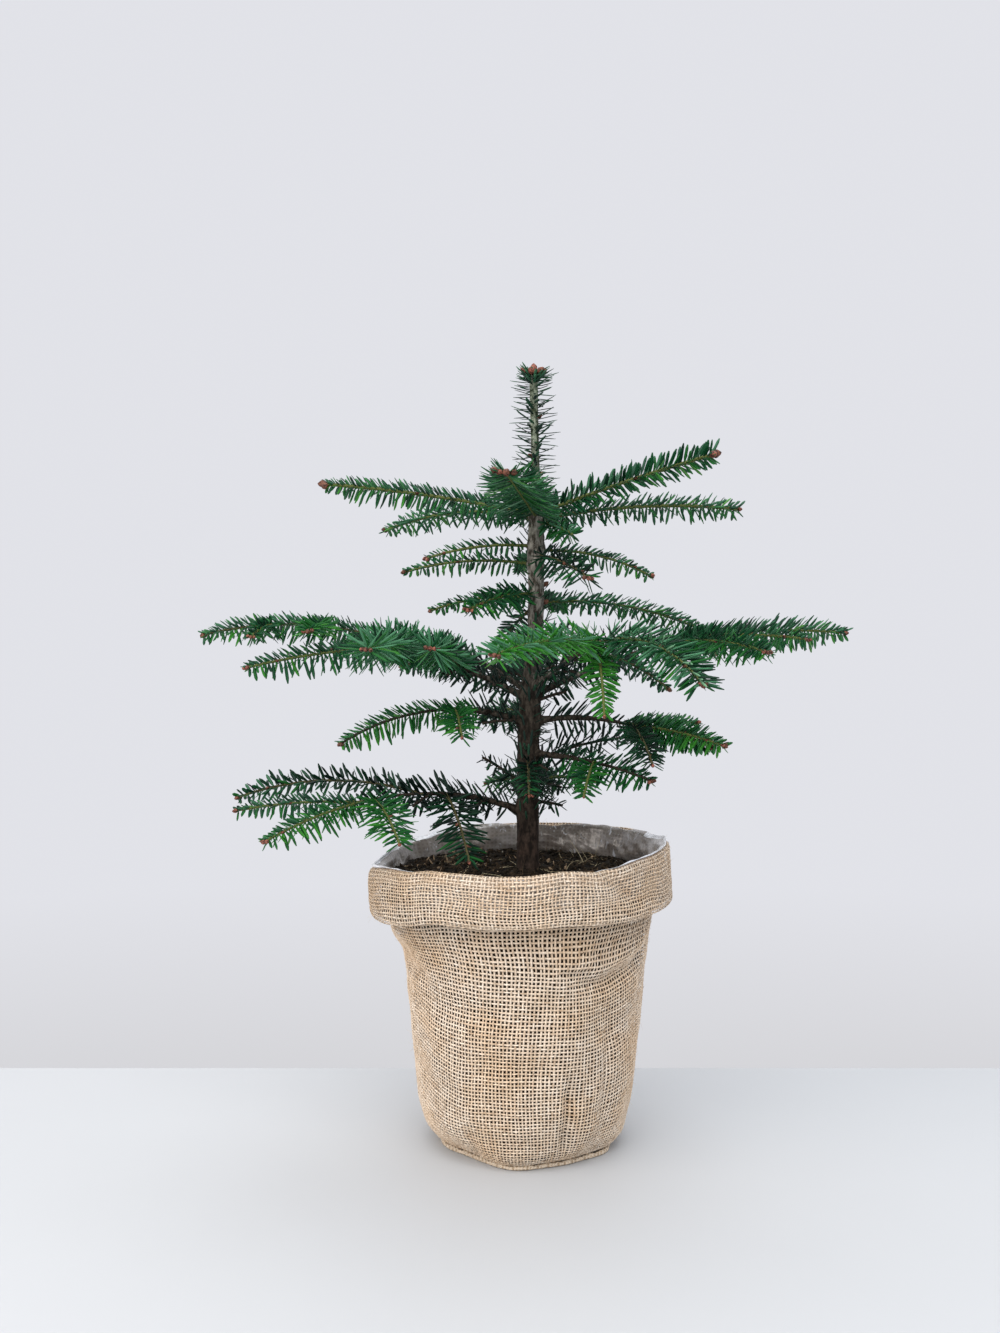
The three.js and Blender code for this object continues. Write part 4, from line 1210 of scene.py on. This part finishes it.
def bark_finish():
    """Fir bark by its age: dark brown at the foot, grey with pale flecks above, olive on the leader."""
    made, tree, shader = new_finish("fir_bark", Specular_IOR_Level=0.12)
    place = object_place(tree)
    height = add_node(tree, "SeparateXYZ", {"Vector": place}).outputs["Z"]
    cloud = noise_node(tree, place, 70.0)
    shift = add_node(tree, "Math", {0: cloud, 1: 0.07}, operation="MULTIPLY").outputs["Value"]
    wavering = add_node(tree, "Math", {0: height, 1: shift}, operation="ADD").outputs["Value"]
    span = {"Value": wavering, "From Min": (SOIL_LEVEL + 35) * MM, "From Max": (TREE_TOP + 35) * MM}
    age = add_node(tree, "MapRange", span).outputs["Result"]
    dark = ramp_node(tree, age, [(at, darkest) for at, darkest, _ in BARK_BY_AGE])
    light = ramp_node(tree, age, [(at, palest) for at, _, palest in BARK_BY_AGE])
    fleck = noise_node(tree, stretched(tree, place, (1, 1, 0.4)), 330.0, 4.0, Roughness=0.7)
    flecks = ramp_node(tree, fleck, [(0.42, (0, 0, 0)), (0.64, (1, 1, 1))])
    tree.links.new(mix_node(tree, flecks, dark, light), shader.inputs["Base Color"])
    uneven_gloss(tree, shader, fleck, 0.65, 0.95)
    add_bump(tree, shader, fleck, 0.6, 0.35)
    return made


fir_bark = bark_finish()
trunk = mesh_piece(
    "trunk_bark",
    bark_rings,
    body_faces(1, TRUNK_ROWS, TRUNK_COLUMNS),
    [fir_bark],
    unwrap=strip_unwrap(1, TRUNK_ROWS, TRUNK_COLUMNS),
)
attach(trunk, "root")
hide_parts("trunk")

# The boughs are the bare, woody first stretch of the older limbs. Each grows out of a collar on the
# trunk, tapers to its first shoots, and has the trunk's own rough dark bark.
BOUGH_SIDES = 14
BOUGH_BUTT, BOUGH_TAPER = 2.1, 0.95


def shares_along(limb, first, last, step):
    """Even shares of a limb's length, about this many millimetres apart."""
    count = max(3, int(np.ceil(limb["length"] * (last - first) / step)))
    return np.linspace(first, last, count)


def limb_tube(limb, share, girth, sides, *reliefs):
    """Rings round a limb, with reliefs given as depth, size of lumps and seed."""
    ahead, up, across = axes_on(limb, share)
    turn = (2 * np.pi * np.arange(sides) / sides)[None, :, None]
    ring = up[:, None] * np.cos(turn) + across[:, None] * np.sin(turn)
    rings = point_on(limb, share)[:, None] + girth[:, None, None] * ring
    outward = unit(rings - rings.mean(axis=1, keepdims=True))
    rough = sum(depth * lumps(rings, size, seed) for depth, size, seed in reliefs)
    return rings + outward * rough[..., None]


def tube_lot(rings_of_each, sides):
    """Joins tubes of different lengths into points and faces, with their ends closed."""
    points, faces, ends, start = [], [], [], 0
    for rings in rings_of_each:
        points.append(rings.reshape(-1, 3))
        faces.append(tube_faces(1, len(rings), sides, False)[:, ::-1] + start)
        ends.append(end_faces(1, len(rings), sides)[:, ::-1] + start)
        start += len(rings) * sides
    return np.concatenate(points), np.concatenate(faces), np.concatenate(ends)


bare_limbs = {name: main for name, main in LIMBS.items() if main["bare"]}
bough_rings = []
for main in bare_limbs.values():
    share = shares_along(main, -4 / main["length"], main["bare"] / main["length"], 0.8)
    collar = 1.5 * bump(share * main["length"], -3, 4.5)
    girth = BOUGH_BUTT - BOUGH_TAPER * share + collar
    bough_rings.append(limb_tube(main, share, girth, BOUGH_SIDES, (0.30, 2.0, 31), (0.22, 5, 32)))
points, faces, ends = tube_lot(bough_rings, BOUGH_SIDES)
boughs = mesh_piece("bough_bark", points, [faces, ends], [fir_bark])
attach(boughs, "root")
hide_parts(*[name + "_bough" for name in bare_limbs])

# Twigs carry the needles. Last year's are olive and smooth, older ones brown and rougher, and a few
# short old twiglets, shaded out long ago, still stand on the trunk and the boughs.
TWIG_SIDES = 8
GOLDEN_TURN = 137.5
for i in range(9):
    height = 216 + 13 * i
    rise, long = 16 - 26 * np.sin(3 * i + 1), 17 + 12 * np.sin(5 * i) ** 2
    side_twig = shoot(0, (i * GOLDEN_TURN + 20) % 360, rise, long, -12, OLD_AND_SHADED)
    girth = rounded(TRUNK_GIRTH, height)
    side_twig.update(level=2, seed=300 + i, foot=trunk_point(height) + heading_of(side_twig) * girth)
    side_twig["whorl"] = "lower_left" if height < 275 else "main_left"
    limbs.append(side_twig)
for name, parent in bare_limbs.items():
    if name.startswith("lower"):  # these are too young to have lost any
        continue
    for i, at in enumerate((0.2, 0.36, 0.54)):
        azimuth, rise = parent["azimuth"] + (60, -54, 48)[i], parent["rise"] - 16 - 5 * i
        side_twig = shoot(at, azimuth, rise, 17 + 3 * i, -14, OLD_AND_SHADED)
        side_twig.update(level=2, seed=400 + i, whorl=name, foot=point_on(parent, at))
        limbs.append(side_twig)

STOUT_WHORLS = ("crown_left", "crown_left_back", "crown_right", "crown_right_back")
twig_rings, twig_ages = [], []
for limb in limbs:
    is_old = limb["level"] == 0 and (limb["bare"] > 0 or limb["tone"] == OLD_AND_SHADED)
    first = limb["bare"] / limb["length"] if limb["bare"] else -1.5 / limb["length"]
    butt, tip = (1.3, 0.85) if is_old else (1.1, 0.8)
    if limb["whorl"] in STOUT_WHORLS:
        butt, tip = 1.5, 1.1
    if limb["bare"]:
        butt = BOUGH_BUTT - BOUGH_TAPER * first
    share = shares_along(limb, first - 0.01, 1, 1.7)
    girth = tip + (butt - tip) * np.exp(-(share - first) / (18 / limb["length"]))
    rings = limb_tube(limb, share, girth, TWIG_SIDES, (0.14, 1.5, 41))
    twig_rings.append(rings)
    age = 2 if limb["tone"] == OLD_AND_SHADED or is_old else int(limb["tone"] == DARK or len(limb["shoots"]) > 0)
    twig_ages.append(np.full((len(rings) - 1) * TWIG_SIDES, age))


def twig_finish(name, colour, rough):
    values = dict(Base_Color=(*colour, 1), Specular_IOR_Level=0.12)
    return grained_finish(name, 800.0, (rough - 0.15, rough + 0.15), 3.0, relief=(0.5, 0.2), **values)


points, faces, ends = tube_lot(twig_rings, TWIG_SIDES)
of_face = np.concatenate([*twig_ages, np.repeat([ages[0] for ages in twig_ages], 2)])
twigs = mesh_piece(
    "twigs",
    points,
    [faces, ends],
    [
        twig_finish("young_twig", (0.105, 0.125, 0.036), 0.6),
        twig_finish("middling_twig", (0.078, 0.070, 0.032), 0.7),
        twig_finish("old_twig", (0.038, 0.028, 0.022), 0.8),
    ],
    of_face,
)
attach(twigs, "root")

# Needles are flat, 10 to 20 mm long and about 1.7 mm wide, glossy and grooved above and paler
# below. They stand in a close spiral round each twig. Those above the twig are short and lean
# forward, and those at its sides and below are longer, spread wide and turn their faces outwards.
NEEDLE = {"length": 15.5, "half_width": 0.9, "thick": 0.52, "per_mm": 1.8}
KEEP_CLEAR = 0.6
NEEDLE_SECTION = [(-1, 0), (-0.45, 0.5), (0.45, 0.5), (1, 0), (0, -0.5)]
NEEDLE_OUTLINE = [
    # share of the length, share of the width, share of the thickness
    (0.0, 0.6, 0.9),
    (0.06, 0.5, 0.8),
    (0.28, 0.95, 1.0),
    (0.78, 0.93, 0.9),
    (1.0, 0.36, 0.4),
]


def wood_stretches():
    """Straight stretches of every limb and of the trunk, that needles keep clear of."""
    starts, stops, radii, owner = [], [], [], []
    for number, limb in enumerate(limbs):
        steps = max(2, int(limb["length"] / 14))
        at = point_on(limb, np.linspace(0, 1, steps + 1))
        starts.append(at[:-1])
        stops.append(at[1:])
        radii.append(np.full(steps, 2.2 if limb["bare"] else 1.2))
        owner.append(np.full(steps, number))
    heights = np.arange(SOIL_LEVEL, TREE_TOP, 12)
    starts.append(trunk_point(heights))
    stops.append(trunk_point(heights + 12))
    radii.append(rounded(TRUNK_GIRTH, heights))
    owner.append(np.full(len(heights), -1))
    return [np.concatenate(each) for each in (starts, stops, radii, owner)]


def gap_between(p0, p1, q0, q1):
    """The shortest way between each pair of straight stretches."""

    def dot(m, n):
        return (m * n).sum(-1)

    u, v, w = p1 - p0, q1 - q0, p0 - q0
    a, b, c, d, e = dot(u, u), dot(u, v), dot(v, v), dot(u, w), dot(v, w)
    flat = a * c - b * b
    s = np.clip((b * e - c * d) / np.maximum(flat, 1e-9), 0, 1)
    t = np.clip((b * s + e) / c, 0, 1)
    s = np.clip((b * t - d) / a, 0, 1)
    return np.linalg.norm(w + u * s[..., None] - v * t[..., None], axis=-1)


def has_room(needles):
    """Which needles keep clear of the wood, the soil and the cuff."""
    starts, stops, radii, owner = wood_stretches()
    roots, tips, own = needles["root"], needles["tip"], needles["owner"]
    inner = roots + (tips - roots) * 0.35
    room = np.ones(len(roots), bool)
    for first in range(0, len(roots), 400):
        part = slice(first, first + 400)
        gaps = gap_between(inner[part, None], tips[part, None], starts[None], stops[None])
        free = gaps > radii[None] + KEEP_CLEAR
        room[part] = (free | (own[part, None] == owner[None])).all(1)
    out = np.hypot(tips[:, 0], tips[:, 1])
    rim = RIM_HEIGHT + rim_lift(np.arctan2(tips[:, 1], tips[:, 0]))
    at_cuff = (out > RIM_RADIUS - 15) & (out < RIM_RADIUS + 15)
    room &= tips[:, 2] > SOIL_LEVEL + 3
    room &= ~((tips[:, 2] < rim + 3) & at_cuff)
    return room


def needle_lot(root, direction, face, length, width, bow, tone, owner):
    """A lot of needles, one to each row, with the number of the limb that bears them."""
    tip = root + direction * length[:, None]
    lot = dict(root=root, direction=direction, face=face, length=length, width=width, bow=bow)
    return dict(lot, tone=tone, tip=tip, owner=np.full(len(root), owner))


def square_to(face, direction):
    """Turns a needle's face square to the way that it points."""
    return unit(face - direction * (face * direction).sum(-1, keepdims=True))


def needles_on(number, limb, first, last, per_mm):
    """The needles of one stretch of a shoot, each turned on from the last in a close spiral."""
    dice = np.random.default_rng(int(1000 + limb["seed"] * 17 + number))
    count = max(2, int(limb["length"] * (last - first) * per_mm))
    share = first + (np.arange(count) + 0.5 + dice.uniform(-0.4, 0.4, count)) / count * (last - first)
    spin = GOLDEN_TURN * np.arange(count) + dice.uniform(-16, 16, count) + 40 * limb["seed"]
    wrapped = (spin / 360 + 0.5) % 1 * 360 - 180
    wrapped = wrapped * (1 - 0.12 * (wrapped / 180) ** 2)
    wrapped = wrapped + limb["flat"] * (92 * np.sign(wrapped) - wrapped)
    round_at = np.radians(wrapped)
    top = 0.5 + 0.5 * np.cos(round_at)
    to_tip = (1 - share) * limb["length"]
    combed = limb["above"] == 1
    lean = 84 - 32 * top**1.5 - 12 * (limb["tip"] < 0.6) * np.exp(-((to_tip / 9) ** 2))
    lean = lean + 18 * top * (limb["tip"] > 0.8) - 20 * limb["flat"] * share**1.5
    lean = 68 - 8 * top if combed else lean
    lean = np.radians(lean + dice.uniform(-9, 9, count) * (1 + limb["flat"]))[:, None]
    ahead, up, across = axes_on(limb, share)
    side = np.sin(round_at)[:, None]
    radial = up * np.cos(round_at)[:, None] + across * side
    direction = ahead * np.cos(lean) + radial * np.sin(lean)
    turned_out = 0.9 if combed else 1.1 * (1 - top[:, None])
    tipped = 0.3 + 0.6 * top[:, None] * (not combed)
    face = square_to(ahead * tipped + up * 0.55 + across * np.sign(side) * turned_out, direction)
    twist = np.radians(dice.uniform(-1, 1, count) * (24 + 26 * top))[:, None]
    face = unit(face * np.cos(twist) + np.cross(direction, face) * np.sin(twist))
    ends = limb["tip"] + (1 - limb["tip"]) * smooth(to_tip / 30)
    ends = ends * (0.82 + 0.18 * smooth(share * limb["length"] / 16))
    about = 1 + (limb["above"] - 1) * smooth(top * 1.15)
    length = NEEDLE["length"] * limb["needle"] * ends * about * dice.uniform(0.86, 1.12, count)
    root = point_on(limb, share) + radial * 0.6
    tone = limb["tone"] + (share > 0.6) * (limb["tone"] < FRESH) * (dice.uniform(size=count) < 0.3)
    tone = tone + (dice.uniform(size=count) < 0.5 * (1 - top)) - (dice.uniform(size=count) < 0.45 * top)
    tone = np.clip(tone, OLD_AND_SHADED, BRIGHT)
    # Needles above the twig get the pale tone more often: painted sheen where the light falls from above, besides
    # the wax bloom.
    tone = np.where(dice.uniform(size=count) < limb["misty"] * (0.4 + 0.6 * top), BLOOM_AND_SHEEN, tone)
    wide = (1.12 - (-0.1 if combed else 0.3) * top) * (1 - 0.2 * limb["flat"])
    width = dice.uniform(0.85, 1.15, count) * wide
    bow = dice.uniform(0.0, 0.16, count)
    return needle_lot(root, direction, face, length, width, bow, tone, number)


def needle_shapes(needles):
    """Lofts every needle through its outline, with a slight upward bow towards its tip."""
    sections = np.array(NEEDLE_SECTION)
    outline = np.array(NEEDLE_OUTLINE)
    side = np.cross(needles["direction"], needles["face"])
    along = (needles["length"][:, None] * outline[None, :, 0])[..., None]
    bow = ((needles["length"] * needles["bow"])[:, None] * outline[None, :, 0] ** 2)[..., None]
    middle = needles["root"][:, None] + needles["direction"][:, None] * along + needles["face"][:, None] * bow
    half = (needles["width"][:, None] * NEEDLE["half_width"] * outline[None, :, 1])[..., None, None]
    thick = (NEEDLE["thick"] * outline[:, 2])[None, :, None, None]
    out = side[:, None, None] * half * sections[None, None, :, :1]
    rise = needles["face"][:, None, None] * thick * sections[None, None, :, 1:]
    return middle[:, :, None] + out + rise


NEEDLE_TONES = {
    # colour of the upper faces and of the paler lower faces, in the order of the tones above
    # the oldest needles are near black: dark with age, and darker still as painted shade inside the tree
    "old": ((0.0040, 0.0120, 0.0090), (0.017, 0.038, 0.029)),
    "dark": ((0.0042, 0.0270, 0.0125), (0.024, 0.072, 0.043)),
    "middle": ((0.0052, 0.0560, 0.0190), (0.042, 0.135, 0.070)),
    "fresh": ((0.0110, 0.0950, 0.0180), (0.060, 0.205, 0.078)),
    "bright": ((0.0280, 0.1700, 0.0180), (0.100, 0.290, 0.070)),
    # paler and bluer: the bloom of wax, with painted sheen
    "misty": ((0.0550, 0.1800, 0.0900), (0.150, 0.310, 0.180)),
}


def needle_finish(name, colour, rough):
    """A waxy leaf surface in one plain colour, a little uneven in its gloss."""
    values = dict(Base_Color=(*colour, 1), Specular_IOR_Level=0.13)
    return grained_finish(name, 300.0, (rough - 0.1, rough + 0.1), **values)


needle_finishes = [
    needle_finish(f"{tone}_needle_{side}", colours[under], rough)
    for under, side, rough in ((0, "top", 0.42), (1, "under", 0.55))
    for tone, colours in NEEDLE_TONES.items()
]


def needle_piece(name, lots, stood_for):
    """One group of needles, less those that would touch something."""
    needles = {key: np.concatenate([lot[key] for lot in lots]) for key in lots[0]}
    room = has_room(needles)
    needles = {key: value[room] for key, value in needles.items()}
    shapes = needle_shapes(needles)
    count, stations, around = shapes.shape[:3]
    is_under = np.tile(np.arange(around) >= 3, count * (stations - 1))
    tone = np.repeat(needles["tone"], (stations - 1) * around)
    of_face = np.concatenate([tone + len(NEEDLE_TONES) * is_under, np.tile(needles["tone"], 2)])
    faces = body_faces(count, stations, around)
    piece = mesh_piece(name, shapes, faces, needle_finishes, of_face)
    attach(piece, "root")
    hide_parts(*stood_for)


NEEDLE_GROUPS = {
    "crown_needles": ("crown",),
    "upper_needles": ("second", "third"),
    "main_left_needles": ("main_left", "main_back_left"),
    "main_right_needles": ("main_right", "main_far"),
    "main_back_needles": ("main_back",),
    "lower_needles": ("lower",),
    "lowest_needles": ("lowest",),
}
OLD_NEEDLES_PER_MM = 1.1
placed = set()
for group, first_words in NEEDLE_GROUPS.items():
    members = [name for name in LIMBS if name.startswith(first_words) and name not in placed]
    placed.update(members)
    lots = []
    for number, limb in enumerate(limbs):
        if limb["whorl"] not in members:
            continue
        long, bare = limb["length"], limb["bare"] / limb["length"]
        density = OLD_NEEDLES_PER_MM if limb["tone"] == OLD_AND_SHADED else NEEDLE["per_mm"] * limb["dense"]
        lots.append(needles_on(number, limb, max(bare, 1.5 / long), 1 - 0.3 / long, density))
        if bare:
            older = dict(limb, tone=OLD_AND_SHADED, above=0.9)
            lots.append(needles_on(number, older, 4 / long, bare, OLD_NEEDLES_PER_MM))
    needle_piece(group, lots, [name + "_foliage" for name in members])

# The leader and the bare trunk between the whorls keep some needles too: on the leader short, thin
# and almost level, and on the trunk sparse, dark and old.
TRUNK_NEEDLES = [
    # lowest and highest, needles to a millimetre, length, lean, tones, width and seed
    (407, TREE_TOP - 2, 2.3, (9.5, 14), (66, 100), [OLD_AND_SHADED, DARK, DARK, MIDDLE], 1.4, 51),
    (TREE_TOP - 7, TREE_TOP - 1, 8, (8, 11), (50, 98), [DARK, MIDDLE, MIDDLE], 1.05, 52),
    (330, 395, 0.7, (8, 13), (48, 88), [OLD_AND_SHADED, DARK], 0.8, 53),
    (285, 330, 1.3, (7, 12), (25, 80), [OLD_AND_SHADED, DARK, DARK], 0.95, 54),
    (205, 285, 1.4, (7, 12.5), (18, 80), [OLD_AND_SHADED, DARK, DARK], 0.95, 55),
]


def needles_on_trunk(low, high, per_mm, length, lean, tones, width, seed):
    """Needles round a stretch of the trunk, in the same spiral as on a twig."""
    dice = np.random.default_rng(seed)
    count = int((high - low) * per_mm)
    height = np.linspace(low, high, count) + dice.uniform(-0.4, 0.4, count)
    radial = level_way(np.radians(GOLDEN_TURN * np.arange(count) + dice.uniform(-20, 20, count)))
    tilt = np.radians(dice.uniform(*lean, count))[:, None]
    direction = radial * np.sin(tilt) + UPRIGHT * np.cos(tilt)
    face = square_to(unit(UPRIGHT - direction * direction[:, 2:] + radial * 0.2), direction)
    long = dice.uniform(*length, count)
    root = trunk_point(height) + radial * (rounded(TRUNK_GIRTH, height) - 0.15)[:, None]
    width = dice.uniform(0.85, 1.1, count) * width
    bow = dice.uniform(-0.05, 0.2, count)
    return needle_lot(root, direction, face, long, width, bow, dice.choice(tones, count), -1)


trunk_lots = [needles_on_trunk(*band) for band in TRUNK_NEEDLES]
needle_piece("leader_and_trunk_needles", trunk_lots, ["leader_needles"])

# Buds for next spring end every shoot: egg-shaped, wrapped in reddish-brown scales, mostly three
# together with the middle one largest, and in a crown of six round the leader's own.
BUD_RINGS = [
    # share of the length and share of the radius
    (0.0, 0.55),
    (0.12, 0.82),
    (0.3, 1.0),
    (0.5, 0.97),
    (0.7, 0.78),
    (0.87, 0.46),
    (1.0, 0.08),
]
BUD_SIDES = 9
bud_rings, bud_kinds = [], []


def add_bud(kind, foot, ahead, length, radius, seed):
    """One bud, with its foot on the wood, whose scales twist from ring to ring."""
    ahead = unit(np.asarray(ahead, float))
    side = unit(np.cross(ahead, [0.3, 0.5, 0.81]))
    up = np.cross(side, ahead)
    rings = []
    for k, (along, wide) in enumerate(BUD_RINGS):
        turn = 2 * np.pi * (np.arange(BUD_SIDES) + 0.5 * (k % 2)) / BUD_SIDES
        scale_edge = 1 + 0.10 * np.cos(3 * turn + 1.9 * k + seed)
        ring = side * np.cos(turn)[:, None] + up * np.sin(turn)[:, None]
        rings.append(foot + ahead * along * length + ring * (wide * radius * scale_edge)[:, None])
    bud_rings.append(np.stack(rings))
    bud_kinds.append(kind)


def bud_cluster(tip, ahead, up, across, size, seed, count):
    """The end bud of a shoot, with the smaller ones beside and above it."""
    dice = np.random.default_rng(900 + seed)
    kind = int(dice.integers(0, 2))
    add_bud(kind, tip - ahead * 0.6, ahead, 4.9 * size, 2.1 * size, seed)
    for i in range(count - 1):
        turn = (0, np.pi, np.pi / 2)[i] + dice.uniform(-0.3, 0.3)
        if count == 4:
            turn = (0.1, np.pi - 0.1, np.pi - 0.25)[i]
        out = (across * np.cos(turn) + up * np.sin(turn)) * (1, 1, 1.9)[i]
        foot = tip + (out * 3.0 - ahead * 1.2) * size
        add_bud((kind + i) % 2, foot, unit(ahead + out * 0.6), 4.1 * size, 1.9 * size, seed + i + 1)


BUD_SIZES = {"crown_front": 1.05, "crown_left": 1.1, "crown_right": 1.2}
USUAL_BUD = 0.68
for number, limb in enumerate(limbs):
    if limb["seed"] >= 300 or limb["length"] < 30:
        continue
    size = BUD_SIZES.get(limb["whorl"], USUAL_BUD)
    if limb["length"] < 45:
        size *= 0.75
    bud_count = 1 if limb["tone"] == OLD_AND_SHADED else 4 if limb["whorl"] == "crown_front" else 3
    if limb["flat"] and limb["dense"] < 1:
        bud_count, size = 1, 0.75 * size
    bud_cluster(point_on(limb, 1), *axes_on(limb, 1), size, number, bud_count)
    if limb["length"] > 60 and limb["tone"] != OLD_AND_SHADED and not limb["shoots"]:
        for k, at in enumerate((0.55, 0.82)):
            beside, rise, across = axes_on(limb, at)
            way = across * (1, -1)[(k + number) % 2]
            add_bud(1, point_on(limb, at) + way * 0.7, way + beside * 0.6 + rise * 0.2, 2.9, 1.1, number)

leader_tip = trunk_point(TREE_TOP)
add_bud(0, leader_tip - UPRIGHT * 0.5, UPRIGHT, 6.2, 2.5, 3)
for i in range(6):
    way = level_way(2 * np.pi * i / 6 + 0.3)
    add_bud(i % 2, leader_tip + way * 3.9 - UPRIGHT * 0.8, way + UPRIGHT * 0.7, 5.6, 2.4, i)
TRUNK_BUDS = [(456, 335, 3.6), (432, 205, 3.2), (421, 350, 3.4), (352, 20, 4.6), (341, 355, 4.2)]
for height, azimuth, long in TRUNK_BUDS:
    way = level_way(np.radians(azimuth))
    foot = trunk_point(height) + way * (rounded(TRUNK_GIRTH, height) - 0.2)
    add_bud(1, foot, way + UPRIGHT * 0.7, long, 0.36 * long, height)


def bud_finish(name, scale, edge):
    """Papery bud scales, mottled with a much darker tone, and a little resin."""
    tones = [(0.4, edge), (0.56, scale)]
    return grained_finish(name, 700.0, (0.4, 0.7), tones=tones, relief=(0.4, 0.2), Specular_IOR_Level=0.25)


points, faces, ends = tube_lot(bud_rings, BUD_SIDES)
of_sides = np.repeat(bud_kinds, (len(BUD_RINGS) - 1) * BUD_SIDES)
buds = mesh_piece(
    "winter_buds",
    points,
    [faces, ends],
    [
        bud_finish("red_bud", (0.270, 0.095, 0.062), (0.045, 0.015, 0.011)),
        bud_finish("brown_bud", (0.170, 0.066, 0.040), (0.028, 0.012, 0.009)),
    ],
    np.concatenate([of_sides, np.repeat(bud_kinds, 2)]),
)
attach(buds, "root")

size = {"cad": [list(corner) for corner in cad_box], "visual": [list(corner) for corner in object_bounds()]}
